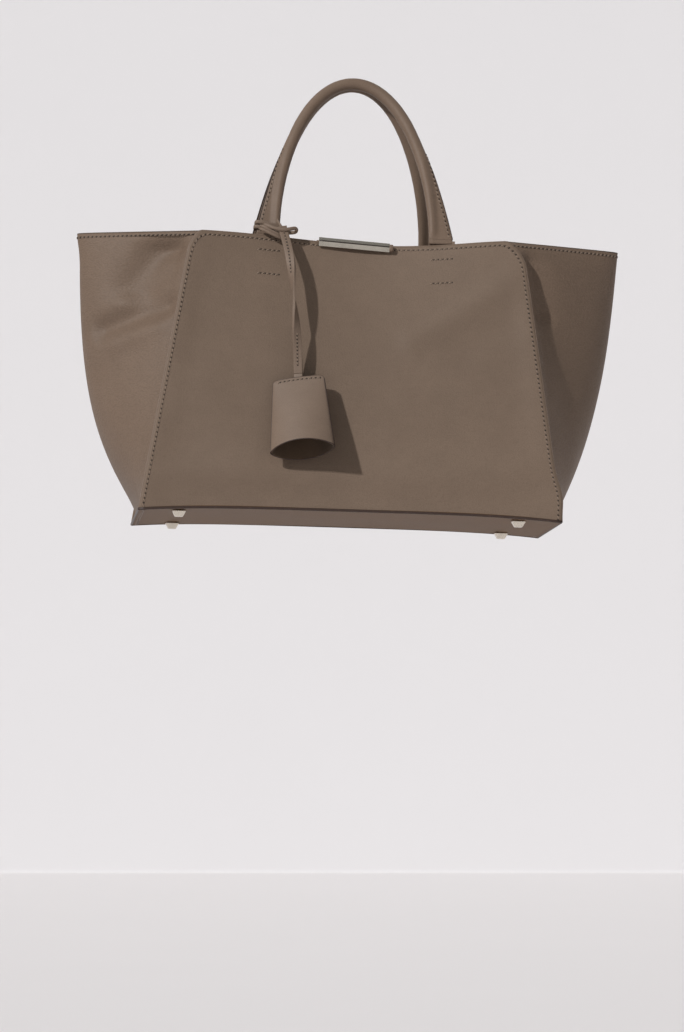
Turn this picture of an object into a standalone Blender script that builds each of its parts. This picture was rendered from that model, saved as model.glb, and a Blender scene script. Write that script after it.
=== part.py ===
"""Structured leather tote with winged sides, two rolled handles, a rim bar and a hanging bell.

Frame: metres, +Z up. The front faces -Y, the picture's right is +X, and the origin is on
the ground under the middle of the bag, which stands on four metal feet.
"""

import math

import bmesh
import bpy
import numpy as np
from mathutils import Matrix, Vector

# Driving sizes of the body
BASE_WIDTH = 0.359
BASE_DEPTH = 0.165
BODY_HEIGHT = 0.240
RIM_WIDTH = 0.287
RIM_DEPTH = 0.116
WING_SPAN = 0.468
FOOT_HEIGHT = 0.006

# Softness of the walls
RIM_SAG = 0.0060
RIM_SAG_SKEW = 0.9
RIM_PINCH = 0.014
PANEL_BELLY = 0.003
BASE_ARCH = 0.004
LEFT_CORNER_EASE = 0.011
RIGHT_CORNER_EASE = 0.016
CORNER_EASE_HEIGHT = 0.032
WING_TIP_RISE = 0.001
# How late a wing starts above the base, the share of its width won quickly, and how quickly
LEFT_WING_SHARES = (0.04, 0.75, 4.0)
RIGHT_WING_SHARES = (0.0, 0.68, 3.1)
FOLD_ROUND_BASE_SHARE = 0.9
FOLD_ROUND_RIM_SHARE = 0.18

# Plies of the walls, from outside in
LEATHER = 0.0016
STIFFENER = 0.0016
FACING = 0.0012
LINING = 0.0008
GAP = 0.0003
FACING_HEIGHT = 0.045
SEAM_EDGE = 0.003
LINING_REACH_SHARE = 0.95

# Base
BASE_LEATHER = 0.002
BASE_BOARD = 0.0025
BASE_FIT = 0.0006

# Feet
FOOT_TOP = 0.0115
FOOT_TIP = 0.007
FOOT_INSET_X = 0.035
FOOT_INSET_Y = 0.018
SHANK_RADIUS = 0.0016
SHANK_SINK = 0.0015
FOOT_FIT = 0.0008
RIVET_RADIUS = 0.0026
RIVET_HEIGHT = 0.0005
WASHER_RADIUS = 0.0045
WASHER_THICKNESS = 0.0008

# Handles
HANDLE_HALF_SPAN = 0.0674
HANDLE_RISE = 0.1455
HANDLE_RADIUS = 0.0052
HANDLE_BASE_RADIUS = 0.0034
HANDLE_SWELL_HEIGHT = 0.110
TAB_PLY = 0.0024
TAB_SPREAD = 0.0155
TAB_SPREAD_HEIGHT = 0.095
TUBE_END_HEIGHT = 0.010
TAB_CURVE_POWER = 1.5
TAB_EDGE_POWER = 0.7
TAB_EDGE_START_SHARE = 0.2
TAB_EDGE_BAND_SHARE = 0.4
TAB_SQUARENESS = 3.0
HANDLE_TOP_GAP = 0.001
HINGE_LIFT = 0.0006
HANDLE_WALL = 0.0012
CORE_START = 0.011
BORE_START = 0.0045
TAB_DEPTH = 0.038
SLOT_FIT = 0.0008

# Rim bar on the front, its leather seat and the closing magnets
BAR_LENGTH = 0.061
BAR_HEIGHT = 0.008
BAR_EDGE = 0.0012
BAR_RIDGE = 0.003
BAR_DROP = 0.0007
BAR_TILT = math.radians(3.6)
SEAT_WIDTH = 0.058
SEAT_OUTER_DROP = 0.0042
SEAT_INNER_DROP = 0.014
SEAT_CROWN = 0.0009
MAGNET_WIDTH = 0.020
MAGNET_HEIGHT = 0.008
MAGNET_DROP = 0.018

# Lanyard: loop round the handle's left leg, flat strap with a half twist, bell-shaped sleeve
LOOP_RADIUS = 0.002
LOOP_HEIGHTS = (0.0085, 0.0131)
LOOP_CORNER_POWER = 0.55
STRAP_WIDTH = 0.0073
STRAP_PLY = 0.0024
BAND_SQUARENESS = 1.6
ROUND_END_SHARE = 0.25
ROUND_END_START = math.radians(22.0)
NECK_TOP = 0.0005
NECK_LENGTH = 0.034
TWIST_START = 0.040
TWIST_END = 0.112
STRAP_END_FIT = 0.0006
HINGE_ABOVE_BELL = 0.004
TAIL_INSIDE_BELL = 0.010
BELL_LENGTH = 0.0655
BELL_TOP_WIDTH = 0.0435
BELL_MOUTH_WIDTH = 0.0548
BELL_PLY = 0.0012
BELL_TOP_RISE = 0.0017
BELL_MOUTH_RISE = 0.0128
BELL_ROUND_POWER = 0.65
BELL_EDGE_ARCH = 0.0042
BELL_BACK_DIP = 0.003
BELL_CORNER = 0.003
BELL_PITCH = math.radians(18.5)
BELL_YAW = math.radians(14.0)
BELL_LEAN = math.radians(8.0)
STRAP_ROUTE = (
    (-0.0640, -0.0539, 0.2580),
    (-0.0618, -0.0594, 0.2476),
    (-0.0592, -0.0649, 0.2371),
    (-0.0569, -0.0695, 0.2268),
    (-0.0553, -0.0733, 0.2165),
    (-0.0541, -0.0760, 0.2065),
    (-0.0532, -0.0781, 0.1965),
    (-0.0523, -0.0796, 0.1866),
    (-0.0514, -0.0805, 0.1767),
    (-0.0505, -0.0812, 0.1668),
    (-0.0498, -0.0815, 0.1570),
    (-0.0490, -0.0815, 0.1472),
    (-0.0483, -0.0812, 0.1374),
    (-0.0477, -0.0806, 0.1281),
    (-0.0474, -0.0802, 0.1227),
)

# Mesh density
WALL_COLUMNS = 16
LOWER_LEVELS = 6
UPPER_LEVELS = 4
EDGE_COLUMN = 2.0
LEVEL_CROWDING = 1.3
FOLD_CROWDING = 1.5
HANDLE_RINGS = 32
HANDLE_SIDES = 12
HANDLE_END_SHARE = 6 / HANDLE_RINGS
CORE_RINGS = 24
CORE_SIDES = 8
STRAP_RINGS = 20
NECK_RINGS = 6
BAND_SIDES = 8
LOOP_RINGS = 20
LOOP_SIDES = 6
LEAF_COLUMNS = 10
LEAF_ROWS = 6
ROUND_SIDES = 16

# Numerical allowances
WELD = 0.000001
CUT = 0.004
SLOPE_SHARE = 0.001
SHARP_ANGLE = math.radians(40.0)

# Sizes worked out from the driving ones
HALF_BASE = BASE_WIDTH / 2
HALF_RIM = RIM_WIDTH / 2
STIFFENER_INSET = LEATHER + GAP
FACING_INSET = STIFFENER_INSET + STIFFENER + GAP
WALL = FACING_INSET + FACING
PLY_REACH = SEAM_EDGE + LEATHER + 3 * GAP
FOOT_X = HALF_BASE - FOOT_INSET_X
FOOT_Y = BASE_DEPTH / 2 - FOOT_INSET_Y
RIM_HEIGHT = FOOT_HEIGHT + BODY_HEIGHT
BOARD_LEVEL = BASE_LEATHER + GAP
WASHER_LEVEL = BOARD_LEVEL + BASE_BOARD + GAP
RIVET_LEVEL = WASHER_LEVEL + WASHER_THICKNESS + GAP
FLOOR_LEVEL = RIVET_LEVEL + RIVET_HEIGHT + GAP
LINING_END = FACING_INSET + LINING
TAB_WIDTH = 2 * HANDLE_BASE_RADIUS + TAB_SPREAD
TAB_CENTRE = HANDLE_HALF_SPAN + TAB_SPREAD / 2

# Lines of the walls' meshes, which every ply shares so that their facets lie parallel. The
# panels have one more column at each edge, which EDGE_COLUMN marks.
COLUMN_SHARES = [2 * k / (WALL_COLUMNS - 2) - 1 for k in range(WALL_COLUMNS - 1)]
LINING_FOLD = [
    LINING_REACH_SHARE * math.copysign(abs(share) ** FOLD_CROWDING, share)
    for share in COLUMN_SHARES
]
FLOOR_SHARE = (FLOOR_LEVEL + LINING + GAP) / BODY_HEIGHT
BAND_SHARE = 1 - FACING_HEIGHT / BODY_HEIGHT
LEVEL_SHARES = [
    FLOOR_SHARE + (BAND_SHARE - FLOOR_SHARE) * (k / LOWER_LEVELS) ** LEVEL_CROWDING
    for k in range(LOWER_LEVELS)
] + [BAND_SHARE + (1 - BAND_SHARE) * k / UPPER_LEVELS for k in range(UPPER_LEVELS)]

LEATHER_COLOUR = (0.185, 0.132, 0.098)
FIBRE_COLOUR = (0.30, 0.24, 0.17)
SUEDE_COLOUR = (0.16, 0.11, 0.08)
PARTS = {}


# Shapes of the body

def mix(a, b, share):
    return a + (b - a) * share


def smooth(share):
    share = np.clip(share, 0, 1)
    return share * share * (3 - 2 * share)


def pick(values, share):
    """The value at a grid share from -1 to 1."""
    return values[round((share + 1) / 2 * (len(values) - 1))]


def levels_between(low, high):
    """The shared levels inside a range, with the range's own ends."""
    return [low] + [t for t in LEVEL_SHARES if low + WELD < t < high - WELD] + [high]


def half_width(t, x):
    """Half the front panel's width at height share t, with its top corner on x's side drawn in."""
    ease_share = CORNER_EASE_HEIGHT / BODY_HEIGHT
    ease = np.clip((t - 1 + ease_share) / ease_share, 0, 1)
    return mix(HALF_BASE, HALF_RIM, t) - (LEFT_CORNER_EASE if x < 0 else RIGHT_CORNER_EASE) * ease**2


def base_lift(x):
    """Height of the arched base over the level of the feet."""
    return BASE_ARCH * ((FOOT_X / HALF_BASE) ** 4 - (x / HALF_BASE) ** 4)


def rim_sag(x):
    """The rim's sag in the middle, deeper to the right."""
    return RIM_SAG * np.clip(1 - (x / HALF_RIM) ** 2, 0, 1) ** 2 * (1 + RIM_SAG_SKEW * x / HALF_RIM)


def wall_height(x, t):
    low = FOOT_HEIGHT + base_lift(x)
    return mix(low, RIM_HEIGHT - rim_sag(x), t)


def wall_share(x, z):
    """The height share t at which the wall reaches height z."""
    low = FOOT_HEIGHT + base_lift(x)
    return (z - low) / (RIM_HEIGHT - rim_sag(x) - low)


def wall_depth(x, t):
    """Distance of the outer face from the middle plane: tapered, pinched at the rim, bellied."""
    pinch = RIM_PINCH * np.clip(1 - (x / HALF_RIM) ** 2, 0, 1) ** 2 * t**2
    rise = np.sin(math.pi * np.clip(t, 0, 1))
    belly = PANEL_BELLY * rise * np.clip(1 - (x / half_width(t, x)) ** 2, 0, 1)
    return mix(BASE_DEPTH / 2, RIM_DEPTH / 2, t) - pinch + belly


def wing_tip(side, t):
    """Distance of the wing's fold from the middle, which swells quickly above the base."""
    start, swell, power = LEFT_WING_SHARES if side < 0 else RIGHT_WING_SHARES
    rise = t if start == 0 else t * t / (t + start) * (1 + start)
    share = swell * (1 - (1 - rise) ** power) + (1 - swell) * rise
    return mix(HALF_BASE - SEAM_EDGE, WING_SPAN / 2, share)


def gusset_skin(side, a, t):
    """A point of the gusset's outer skin, at share a from the front seam (-1) to the back (1)."""
    t = np.clip(t, 0, 1)
    seam_x = half_width(t, side) - SEAM_EDGE
    seam_y = wall_depth(seam_x, t) - LEATHER - GAP
    roundness = mix(FOLD_ROUND_BASE_SHARE, FOLD_ROUND_RIM_SHARE, t)
    fold = (np.sqrt(a * a + roundness**2) - roundness) / (math.sqrt(1 + roundness**2) - roundness)
    x = seam_x + (wing_tip(side, t) - seam_x) * (1 - fold)
    low = FOOT_HEIGHT + base_lift(HALF_BASE)
    z = mix(low, RIM_HEIGHT + WING_TIP_RISE * (1 - abs(a)), t)
    return np.array((side * x, a * seam_y, z))


def gusset_point(side, a, t, inset):
    """The gusset's skin moved inwards along its own normal."""
    low, high = max(t - SLOPE_SHARE, 0), min(t + SLOPE_SHARE, 1)
    across = gusset_skin(side, a + SLOPE_SHARE, t) - gusset_skin(side, a - SLOPE_SHARE, t)
    up = gusset_skin(side, a, high) - gusset_skin(side, a, low)
    outward = np.cross(across, up) * side
    return gusset_skin(side, a, t) - outward / np.linalg.norm(outward) * inset


# Building blocks

def material(name, colour, roughness, metallic=0.0):
    made = bpy.data.materials.new(name)
    made.use_nodes = True
    shader = made.node_tree.nodes["Principled BSDF"]
    shader.inputs["Base Color"].default_value = (*colour, 1)
    shader.inputs["Roughness"].default_value = roughness
    shader.inputs["Metallic"].default_value = metallic
    made.diffuse_color = (*colour, 1)
    return made


def add_object(name, mesh, finish, group="tote_bag"):
    """Links a mesh as a named object with a material of its own."""
    made = bpy.data.objects.new(name, mesh)
    bpy.data.collections[group].objects.link(made)
    if finish:
        colour, roughness, metallic = finish
        mesh.materials.append(material(name + "_finish", colour, roughness, metallic))
    PARTS[name] = made
    return made


def grid_mesh(name, columns, rows, place, closed=False):
    """A grid of unit shares u (along) and v (up or round) with each point put in place."""
    shape = bmesh.new()
    bmesh.ops.create_grid(shape, x_segments=columns, y_segments=rows, size=1)
    for vertex in shape.verts:
        vertex.co = Vector(place(vertex.co.x, vertex.co.y))
    if closed:
        bmesh.ops.remove_doubles(shape, verts=shape.verts, dist=WELD)
        open_edges = [edge for edge in shape.edges if edge.is_boundary]
        bmesh.ops.holes_fill(shape, edges=open_edges)
        bmesh.ops.recalc_face_normals(shape, faces=shape.faces)
    mesh = bpy.data.meshes.new(name)
    shape.to_mesh(mesh)
    shape.free()
    mesh.shade_smooth()
    mesh.set_sharp_from_angle(angle=SHARP_ANGLE)
    return mesh


def add_sheet(name, columns, rows, place, thickness, finish, outward=-1.0):
    """A mapped ply whose thickness grows away from its outward face."""
    made = add_object(name, grid_mesh(name, columns, rows, place), finish)
    ply = made.modifiers.new("ply", "SOLIDIFY")
    ply.thickness = thickness
    ply.offset = outward
    ply.use_even_offset = True
    return made


def add_loft(name, rings, sides, place, finish):
    """A closed solid swept through unlike sections, capped at both ends."""
    return add_object(name, grid_mesh(name, rings, sides, place, closed=True), finish)


def add_cutter(name, mesh):
    made = add_object(name, mesh, None, "cutters")
    del PARTS[name]
    made.hide_render = True
    made.display_type = "WIRE"
    return made


def cut(target, cutter, operation="DIFFERENCE"):
    step = PARTS[target].modifiers.new("cut", "BOOLEAN")
    step.operation = operation
    step.object = cutter
    step.solver = "EXACT"


def solid_mesh(name, make, matrix):
    shape = bmesh.new()
    make(shape, matrix)
    mesh = bpy.data.meshes.new(name)
    shape.to_mesh(mesh)
    shape.free()
    return mesh


def box_mesh(name, size, centre):
    matrix = Matrix.Translation(centre) @ Matrix.Diagonal((*size, 1))

    def make(shape, matrix):
        bmesh.ops.create_cube(shape, size=1, matrix=matrix)

    return solid_mesh(name, make, matrix)


def cylinder_mesh(name, radius, low, high, centre):
    """An upright cylinder between two heights."""
    matrix = Matrix.Translation((centre[0], centre[1], (low + high) / 2))

    def make(shape, matrix):
        bmesh.ops.create_cone(
            shape, cap_ends=True, segments=ROUND_SIDES,
            radius1=radius, radius2=radius, depth=high - low, matrix=matrix,
        )

    return solid_mesh(name, make, matrix)


# Walls

def add_wall_ply(name, side, inset, thickness, columns, levels, finish):
    """One ply of the front (side -1) or back (side 1) wall. The inner plies end at PLY_REACH."""

    def place(u, v):
        t, share = pick(levels, v), -side * pick(columns, u)
        inner = half_width(t, share) - PLY_REACH
        x = share * inner if abs(share) <= 1 else math.copysign(inner + PLY_REACH, share)
        return x, side * (wall_depth(x, t) - inset), wall_height(x, t)

    add_sheet(name, len(columns) - 1, len(levels) - 1, place, thickness, finish)


def add_gusset_ply(name, side, inset, thickness, columns, levels, finish):
    """One ply of the left (side -1) or right (side 1) gusset, closer meshed at the fold."""

    def place(u, v):
        return gusset_point(side, side * pick(columns, u), pick(levels, v), inset)

    add_sheet(name, len(columns) - 1, len(levels) - 1, place, thickness, finish)


def add_walls():
    leather = (LEATHER_COLOUR, 0.5, 0.0)
    fibre = (FIBRE_COLOUR, 0.8, 0.0)
    suede = (SUEDE_COLOUR, 0.85, 0.0)
    full = levels_between(0, 1)
    stiff = levels_between((BOARD_LEVEL + GAP) / BODY_HEIGHT, 1)
    band = levels_between(BAND_SHARE, 1)
    lining = levels_between(FLOOR_SHARE, BAND_SHARE - GAP / BODY_HEIGHT)
    inner, whole = COLUMN_SHARES, [-EDGE_COLUMN, *COLUMN_SHARES, EDGE_COLUMN]
    for word, side in (("front", -1), ("back", 1)):
        add_wall_ply(word + "_panel", side, 0, LEATHER, whole, full, leather)
        add_wall_ply(word + "_stiffener", side, STIFFENER_INSET, STIFFENER, inner, stiff, fibre)
        add_wall_ply(word + "_facing", side, FACING_INSET, FACING, inner, band, leather)
        add_wall_ply(word + "_lining", side, FACING_INSET, LINING, inner, lining, suede)
    inner, whole = LINING_FOLD, [-1, *LINING_FOLD, 1]
    for word, side in (("left", -1), ("right", 1)):
        add_gusset_ply(word + "_gusset", side, 0, LEATHER, whole, full, leather)
        add_gusset_ply(word + "_facing", side, STIFFENER_INSET, FACING, inner, band, leather)
        add_gusset_ply(word + "_lining", side, STIFFENER_INSET, LINING, inner, lining, suede)


def add_base():
    """Outer base leather, its board and its lining, all arched alike, each inside the walls."""
    layers = (
        ("base_panel", 0, BASE_LEATHER, LEATHER, LEATHER, LEATHER_COLOUR),
        ("base_board", BOARD_LEVEL, BASE_BOARD, FACING_INSET - GAP, LEATHER, FIBRE_COLOUR),
        ("base_lining", FLOOR_LEVEL, LINING, LINING_END, STIFFENER_INSET + LINING, SUEDE_COLOUR),
    )
    for name, level, thickness, wall_inset, gusset_inset, colour in layers:
        top_share = (level + thickness) / BODY_HEIGHT
        half_y = wall_depth(HALF_BASE, top_share) - wall_inset - BASE_FIT
        half_x = half_width(top_share, 1) - SEAM_EDGE - gusset_inset - BASE_FIT

        def place(u, v, half_x=half_x, half_y=half_y, level=level):
            x = -u * half_x
            return x, v * half_y, FOOT_HEIGHT + base_lift(x) + level

        add_sheet(name, WALL_COLUMNS, 1, place, thickness, (colour, 0.7, 0.0))


# Feet

def add_foot(word, x, y):
    """A square tapered stud, its riveted shank, the washer over the board, and their holes."""
    gold = ((0.62, 0.52, 0.40), 0.25, 1.0)
    top = FOOT_HEIGHT - FOOT_FIT
    corner = math.sqrt(2) / 2
    matrix = Matrix.Translation((x, y, top / 2)) @ Matrix.Rotation(math.radians(45), 4, "Z")

    def make(shape, matrix):
        bmesh.ops.create_cone(
            shape, cap_ends=True, segments=4, radius1=FOOT_TIP * corner,
            radius2=FOOT_TOP * corner, depth=top, matrix=matrix,
        )

    add_object("foot_" + word, solid_mesh("foot_" + word, make, matrix), gold)
    rivet_low = FOOT_HEIGHT + RIVET_LEVEL
    shank = cylinder_mesh(
        "shank_" + word, SHANK_RADIUS, top - SHANK_SINK, rivet_low + RIVET_HEIGHT / 2, (x, y),
    )
    rivet_top = rivet_low + RIVET_HEIGHT
    rivet = cylinder_mesh("rivet_" + word, RIVET_RADIUS, rivet_low, rivet_top, (x, y))
    cut("foot_" + word, add_cutter("shank_" + word, shank), "UNION")
    cut("foot_" + word, add_cutter("rivet_" + word, rivet), "UNION")
    low = FOOT_HEIGHT + WASHER_LEVEL
    washer = cylinder_mesh("washer_" + word, WASHER_RADIUS, low, low + WASHER_THICKNESS, (x, y))
    add_object("washer_" + word, washer, ((0.55, 0.52, 0.48), 0.4, 1.0))
    bore = cylinder_mesh(
        "bore_" + word, SHANK_RADIUS + GAP, top - CUT, low + WASHER_THICKNESS + CUT, (x, y),
    )
    bore_cutter = add_cutter("bore_" + word, bore)
    for target in ("washer_" + word, "base_panel", "base_board"):
        cut(target, bore_cutter)


def add_feet():
    for depth_word, y in (("front", -FOOT_Y), ("back", FOOT_Y)):
        for side_word, x in (("left", -FOOT_X), ("right", FOOT_X)):
            add_foot(depth_word + "_" + side_word, x, y)


# Handles

def handle_hinge():
    """Distance from the middle plane, and height, of the line on which a handle folds."""
    high = TAB_CENTRE + TAB_WIDTH / 2
    y = wall_depth(TAB_CENTRE, 1) - STIFFENER_INSET - STIFFENER / 2
    z = wall_height(-high, 1) + HINGE_LIFT + TAB_PLY / 2
    return y, z


def handle_lean():
    """How far a handle leans inwards at rest, so that the two grips meet over the middle."""
    reach = handle_hinge()[0] - HANDLE_RADIUS - HANDLE_TOP_GAP / 2
    return math.asin(reach / HANDLE_RISE)


def tube_radius(height):
    return mix(HANDLE_BASE_RADIUS, HANDLE_RADIUS, smooth(height / HANDLE_SWELL_HEIGHT))


def tab_spread(height):
    """How far the flat tab stands out from the tube, on the outer side of the leg."""
    return TAB_SPREAD * np.clip(1 - height / TAB_SPREAD_HEIGHT, 0, 1) ** TAB_CURVE_POWER


def handle_section(height, angle):
    """A section point: a round tube that opens outwards into a flat stitched tab."""
    radius, spread = tube_radius(height), tab_spread(height)
    outer = max(math.cos(angle), 0)
    flat = smooth((outer - TAB_EDGE_START_SHARE) / TAB_EDGE_BAND_SHARE) * min(1, spread / radius)
    half_ply = TAB_PLY / 2
    thick = mix(half_ply, radius, smooth(height / TUBE_END_HEIGHT))
    edge = math.copysign(min(1, abs(math.sin(angle)) * TAB_SQUARENESS), math.sin(angle))
    across = radius * math.cos(angle) + spread * outer**TAB_EDGE_POWER
    return across, mix(thick * math.sin(angle), half_ply * edge, flat)


def arch_point(turn):
    """The tube's axis in the handle's own plane, and the direction out of the arch."""
    point = np.array((HANDLE_HALF_SPAN * math.cos(turn), HANDLE_RISE * math.sin(turn)))
    outward = np.array((math.cos(turn) / HANDLE_HALF_SPAN, math.sin(turn) / HANDLE_RISE))
    return point, outward / np.linalg.norm(outward)


def handle_place(side, turn, across, proud, rise=0):
    """From the handle's own plane to the bag: side -1 is the front handle."""
    point, outward = arch_point(turn)
    x, height = point + outward * across + (0, rise)
    y, z = handle_hinge()
    lean = handle_lean()
    deep = y - height * math.sin(lean) + proud * math.cos(lean)
    high = z + height * math.cos(lean) + proud * math.sin(lean)
    return x, side * deep, high


def handle_turn(u, start):
    """Turn along the arch for share u, from a start height on one leg to the other."""
    low = math.asin(start / HANDLE_RISE)
    return mix(low, math.pi - low, (u + 1) / 2)


def add_handle(word, side):
    leather = (LEATHER_COLOUR, 0.45, 0.0)
    rope = ((0.5, 0.42, 0.3), 0.9, 0.0)

    def grip(u, v):
        turn = handle_turn(np.clip(u / (1 - HANDLE_END_SHARE), -1, 1), 0)
        beyond = max(abs(u) - 1 + HANDLE_END_SHARE, 0) / HANDLE_END_SHARE
        roll = mix(math.pi / 2, ROUND_END_START, beyond)
        across, proud = handle_section(HANDLE_RISE * math.sin(turn), math.pi * v)
        rise = -TAB_PLY / 2 * math.cos(roll)
        return handle_place(side, turn, across, proud * math.sin(roll), rise)

    def core_of(start, slack):
        def place(u, v):
            turn = handle_turn(u, start)
            radius = tube_radius(HANDLE_RISE * math.sin(turn)) - HANDLE_WALL - slack
            angle = math.pi * v
            return handle_place(side, turn, radius * math.cos(angle), radius * math.sin(angle))

        return place

    name = word + "_handle"
    add_loft(name, HANDLE_RINGS, HANDLE_SIDES, grip, leather)
    add_loft(name + "_core", CORE_RINGS, CORE_SIDES, core_of(CORE_START, GAP), rope)
    bore = grid_mesh(name + "_bore", CORE_RINGS, CORE_SIDES, core_of(BORE_START, 0), closed=True)
    cut(name, add_cutter(name + "_bore", bore))


def add_handle_tab(word, side, leg_word, leg):
    """The handle's root, sewn between the wall's plies under its hinge line."""
    top = handle_hinge()[1] - TAB_PLY / 2 - GAP

    def place(u, v):
        x = leg * TAB_CENTRE - side * u * TAB_WIDTH / 2
        z = mix(RIM_HEIGHT - TAB_DEPTH, top, (v + 1) / 2)
        return x, side * (wall_depth(x, wall_share(x, z)) - STIFFENER_INSET), z

    add_sheet(
        f"{word}_handle_tab_{leg_word}", 4, 4, place, STIFFENER, (LEATHER_COLOUR, 0.6, 0.0),
    )


def add_handles():
    slot_low = RIM_HEIGHT - TAB_DEPTH - SLOT_FIT
    for leg_word, leg in (("left", -1), ("right", 1)):
        size = (TAB_WIDTH + 2 * SLOT_FIT, RIM_DEPTH, TAB_DEPTH + CUT)
        centre = (leg * TAB_CENTRE, 0, slot_low + size[2] / 2)
        slot = add_cutter("tab_slot_" + leg_word, box_mesh("tab_slot_" + leg_word, size, centre))
        for word in ("front", "back"):
            cut(word + "_stiffener", slot)
    for word, side in (("front", -1), ("back", 1)):
        add_handle(word, side)
        for leg_word, leg in (("left", -1), ("right", 1)):
            add_handle_tab(word, side, leg_word, leg)


# Rim bar, seat and magnets

def add_magnets():
    size = (MAGNET_WIDTH + 2 * SLOT_FIT, RIM_DEPTH, MAGNET_HEIGHT + 2 * SLOT_FIT)
    centre_z = RIM_HEIGHT - MAGNET_DROP
    pocket = add_cutter("magnet_pocket", box_mesh("magnet_pocket", size, (0, 0, centre_z)))
    for word, side in (("front", -1), ("back", 1)):
        cut(word + "_stiffener", pocket)

        def place(u, v):
            x, z = -side * u * MAGNET_WIDTH / 2, centre_z + v * MAGNET_HEIGHT / 2
            return x, side * (wall_depth(x, wall_share(x, z)) - STIFFENER_INSET), z

        add_sheet(word + "_magnet", 4, 2, place, STIFFENER, ((0.35, 0.35, 0.36), 0.35, 1.0))


def add_bar_seat():
    """A leather strip folded over the front rim: down the face, over a low crown, down inside."""
    half_wall = WALL / 2 + GAP

    def place(u, v):
        x = u * SEAT_WIDTH / 2
        rim = float(wall_height(x, 1))
        middle = float(wall_depth(x, 1)) - WALL / 2
        if abs(v) <= 0.5:
            turn = math.pi * v
            return x, -(middle - half_wall * math.sin(turn)), rim + SEAT_CROWN * math.cos(turn)
        drop = SEAT_OUTER_DROP if v < 0 else SEAT_INNER_DROP
        z = rim - drop * (abs(v) * 2 - 1)
        face = float(wall_depth(x, wall_share(x, z))) - WALL / 2
        return x, -(face - math.copysign(half_wall, v)), z

    add_sheet("front_rim_seat", 8, 12, place, FACING, (LEATHER_COLOUR, 0.5, 0.0), outward=1.0)


def add_rim_bar():
    """A two-facet bar: its outline is drawn flat and extruded along the rim."""
    half = BAR_HEIGHT / 2
    outline = ((-half, 0), (half, 0), (half, BAR_EDGE), (0, BAR_RIDGE), (-half, BAR_EDGE))
    curve = bpy.data.curves.new("rim_bar", "CURVE")
    curve.dimensions = "2D"
    curve.fill_mode = "BOTH"
    curve.extrude = BAR_LENGTH / 2
    line = curve.splines.new("POLY")
    line.points.add(len(outline) - 1)
    for point, (x, y) in zip(line.points, outline):
        point.co = (x, y, 0, 1)
    line.use_cyclic_u = True
    drawn = bpy.data.objects.new("rim_bar_outline", curve)
    bpy.data.collections["tote_bag"].objects.link(drawn)
    graph = bpy.context.evaluated_depsgraph_get()
    mesh = bpy.data.meshes.new_from_object(drawn.evaluated_get(graph))
    bpy.data.objects.remove(drawn)
    shape = bmesh.new()
    shape.from_mesh(mesh)
    bmesh.ops.remove_doubles(shape, verts=shape.verts, dist=WELD)
    end_x = BAR_LENGTH / 2
    middle_z = RIM_HEIGHT - RIM_SAG - BAR_DROP
    face, low_face = (
        float(wall_depth(-end_x, wall_share(-end_x, z))) for z in (middle_z, middle_z - half)
    )
    pitch = math.atan2(low_face - face, half)
    turn = Matrix(((0, 0, 1, 0), (0, -1, 0, 0), (1, 0, 0, 0), (0, 0, 0, 1)))
    spot = Matrix.Translation((0, -(face + FACING + 3 * GAP), middle_z))
    tilt = Matrix.Rotation(-pitch, 4, "X") @ Matrix.Rotation(BAR_TILT, 4, "Y")
    matrix = spot @ tilt @ turn
    bmesh.ops.transform(shape, matrix=matrix, verts=shape.verts)
    bmesh.ops.recalc_face_normals(shape, faces=shape.faces)
    shape.to_mesh(mesh)
    shape.free()
    add_object("front_rim_bar", mesh, ((0.66, 0.60, 0.52), 0.18, 1.0))


# Lanyard

def smooth_route(points, distance):
    """A point and direction at a distance along a smooth curve through the given points."""
    points = np.array(points)
    steps = np.concatenate(([0], np.cumsum(np.linalg.norm(np.diff(points, axis=0), axis=1))))
    index = int(np.clip(np.searchsorted(steps, distance) - 1, 0, len(points) - 2))
    share = (distance - steps[index]) / (steps[index + 1] - steps[index])
    before, after = points[max(index - 1, 0)], points[min(index + 2, len(points) - 1)]
    start, end = points[index], points[index + 1]
    leave = (end - before) / (2 if index else 1)
    reach = (after - start) / (2 if index + 2 < len(points) else 1)
    square, cube = share**2, share**3
    place = (
        (2 * cube - 3 * square + 1) * start + (cube - 2 * square + share) * leave
        + (3 * square - 2 * cube) * end + (cube - square) * reach
    )
    along = (
        (6 * square - 6 * share) * (start - end) + (3 * square - 4 * share + 1) * leave
        + (3 * square - 2 * share) * reach
    )
    return place, along / np.linalg.norm(along)


def route_length():
    points = np.array(STRAP_ROUTE)
    return float(np.linalg.norm(np.diff(points, axis=0), axis=1).sum())


def band_point(place, along, twist, width, thickness, v):
    """A point round a flat band's section, whose width starts along X and turns by twist."""
    normal = np.cross(along, (1, 0, 0))
    normal = normal / np.linalg.norm(normal)
    across = np.cross(normal, along)
    wide = across * math.cos(twist) + normal * math.sin(twist)
    thick = normal * math.cos(twist) - across * math.sin(twist)
    angle = math.pi * v
    side = np.clip(BAND_SQUARENESS * math.cos(angle), -1, 1)
    face = np.clip(BAND_SQUARENESS * math.sin(angle), -1, 1)
    return place + wide * side * width / 2 + thick * face * thickness / 2


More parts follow.
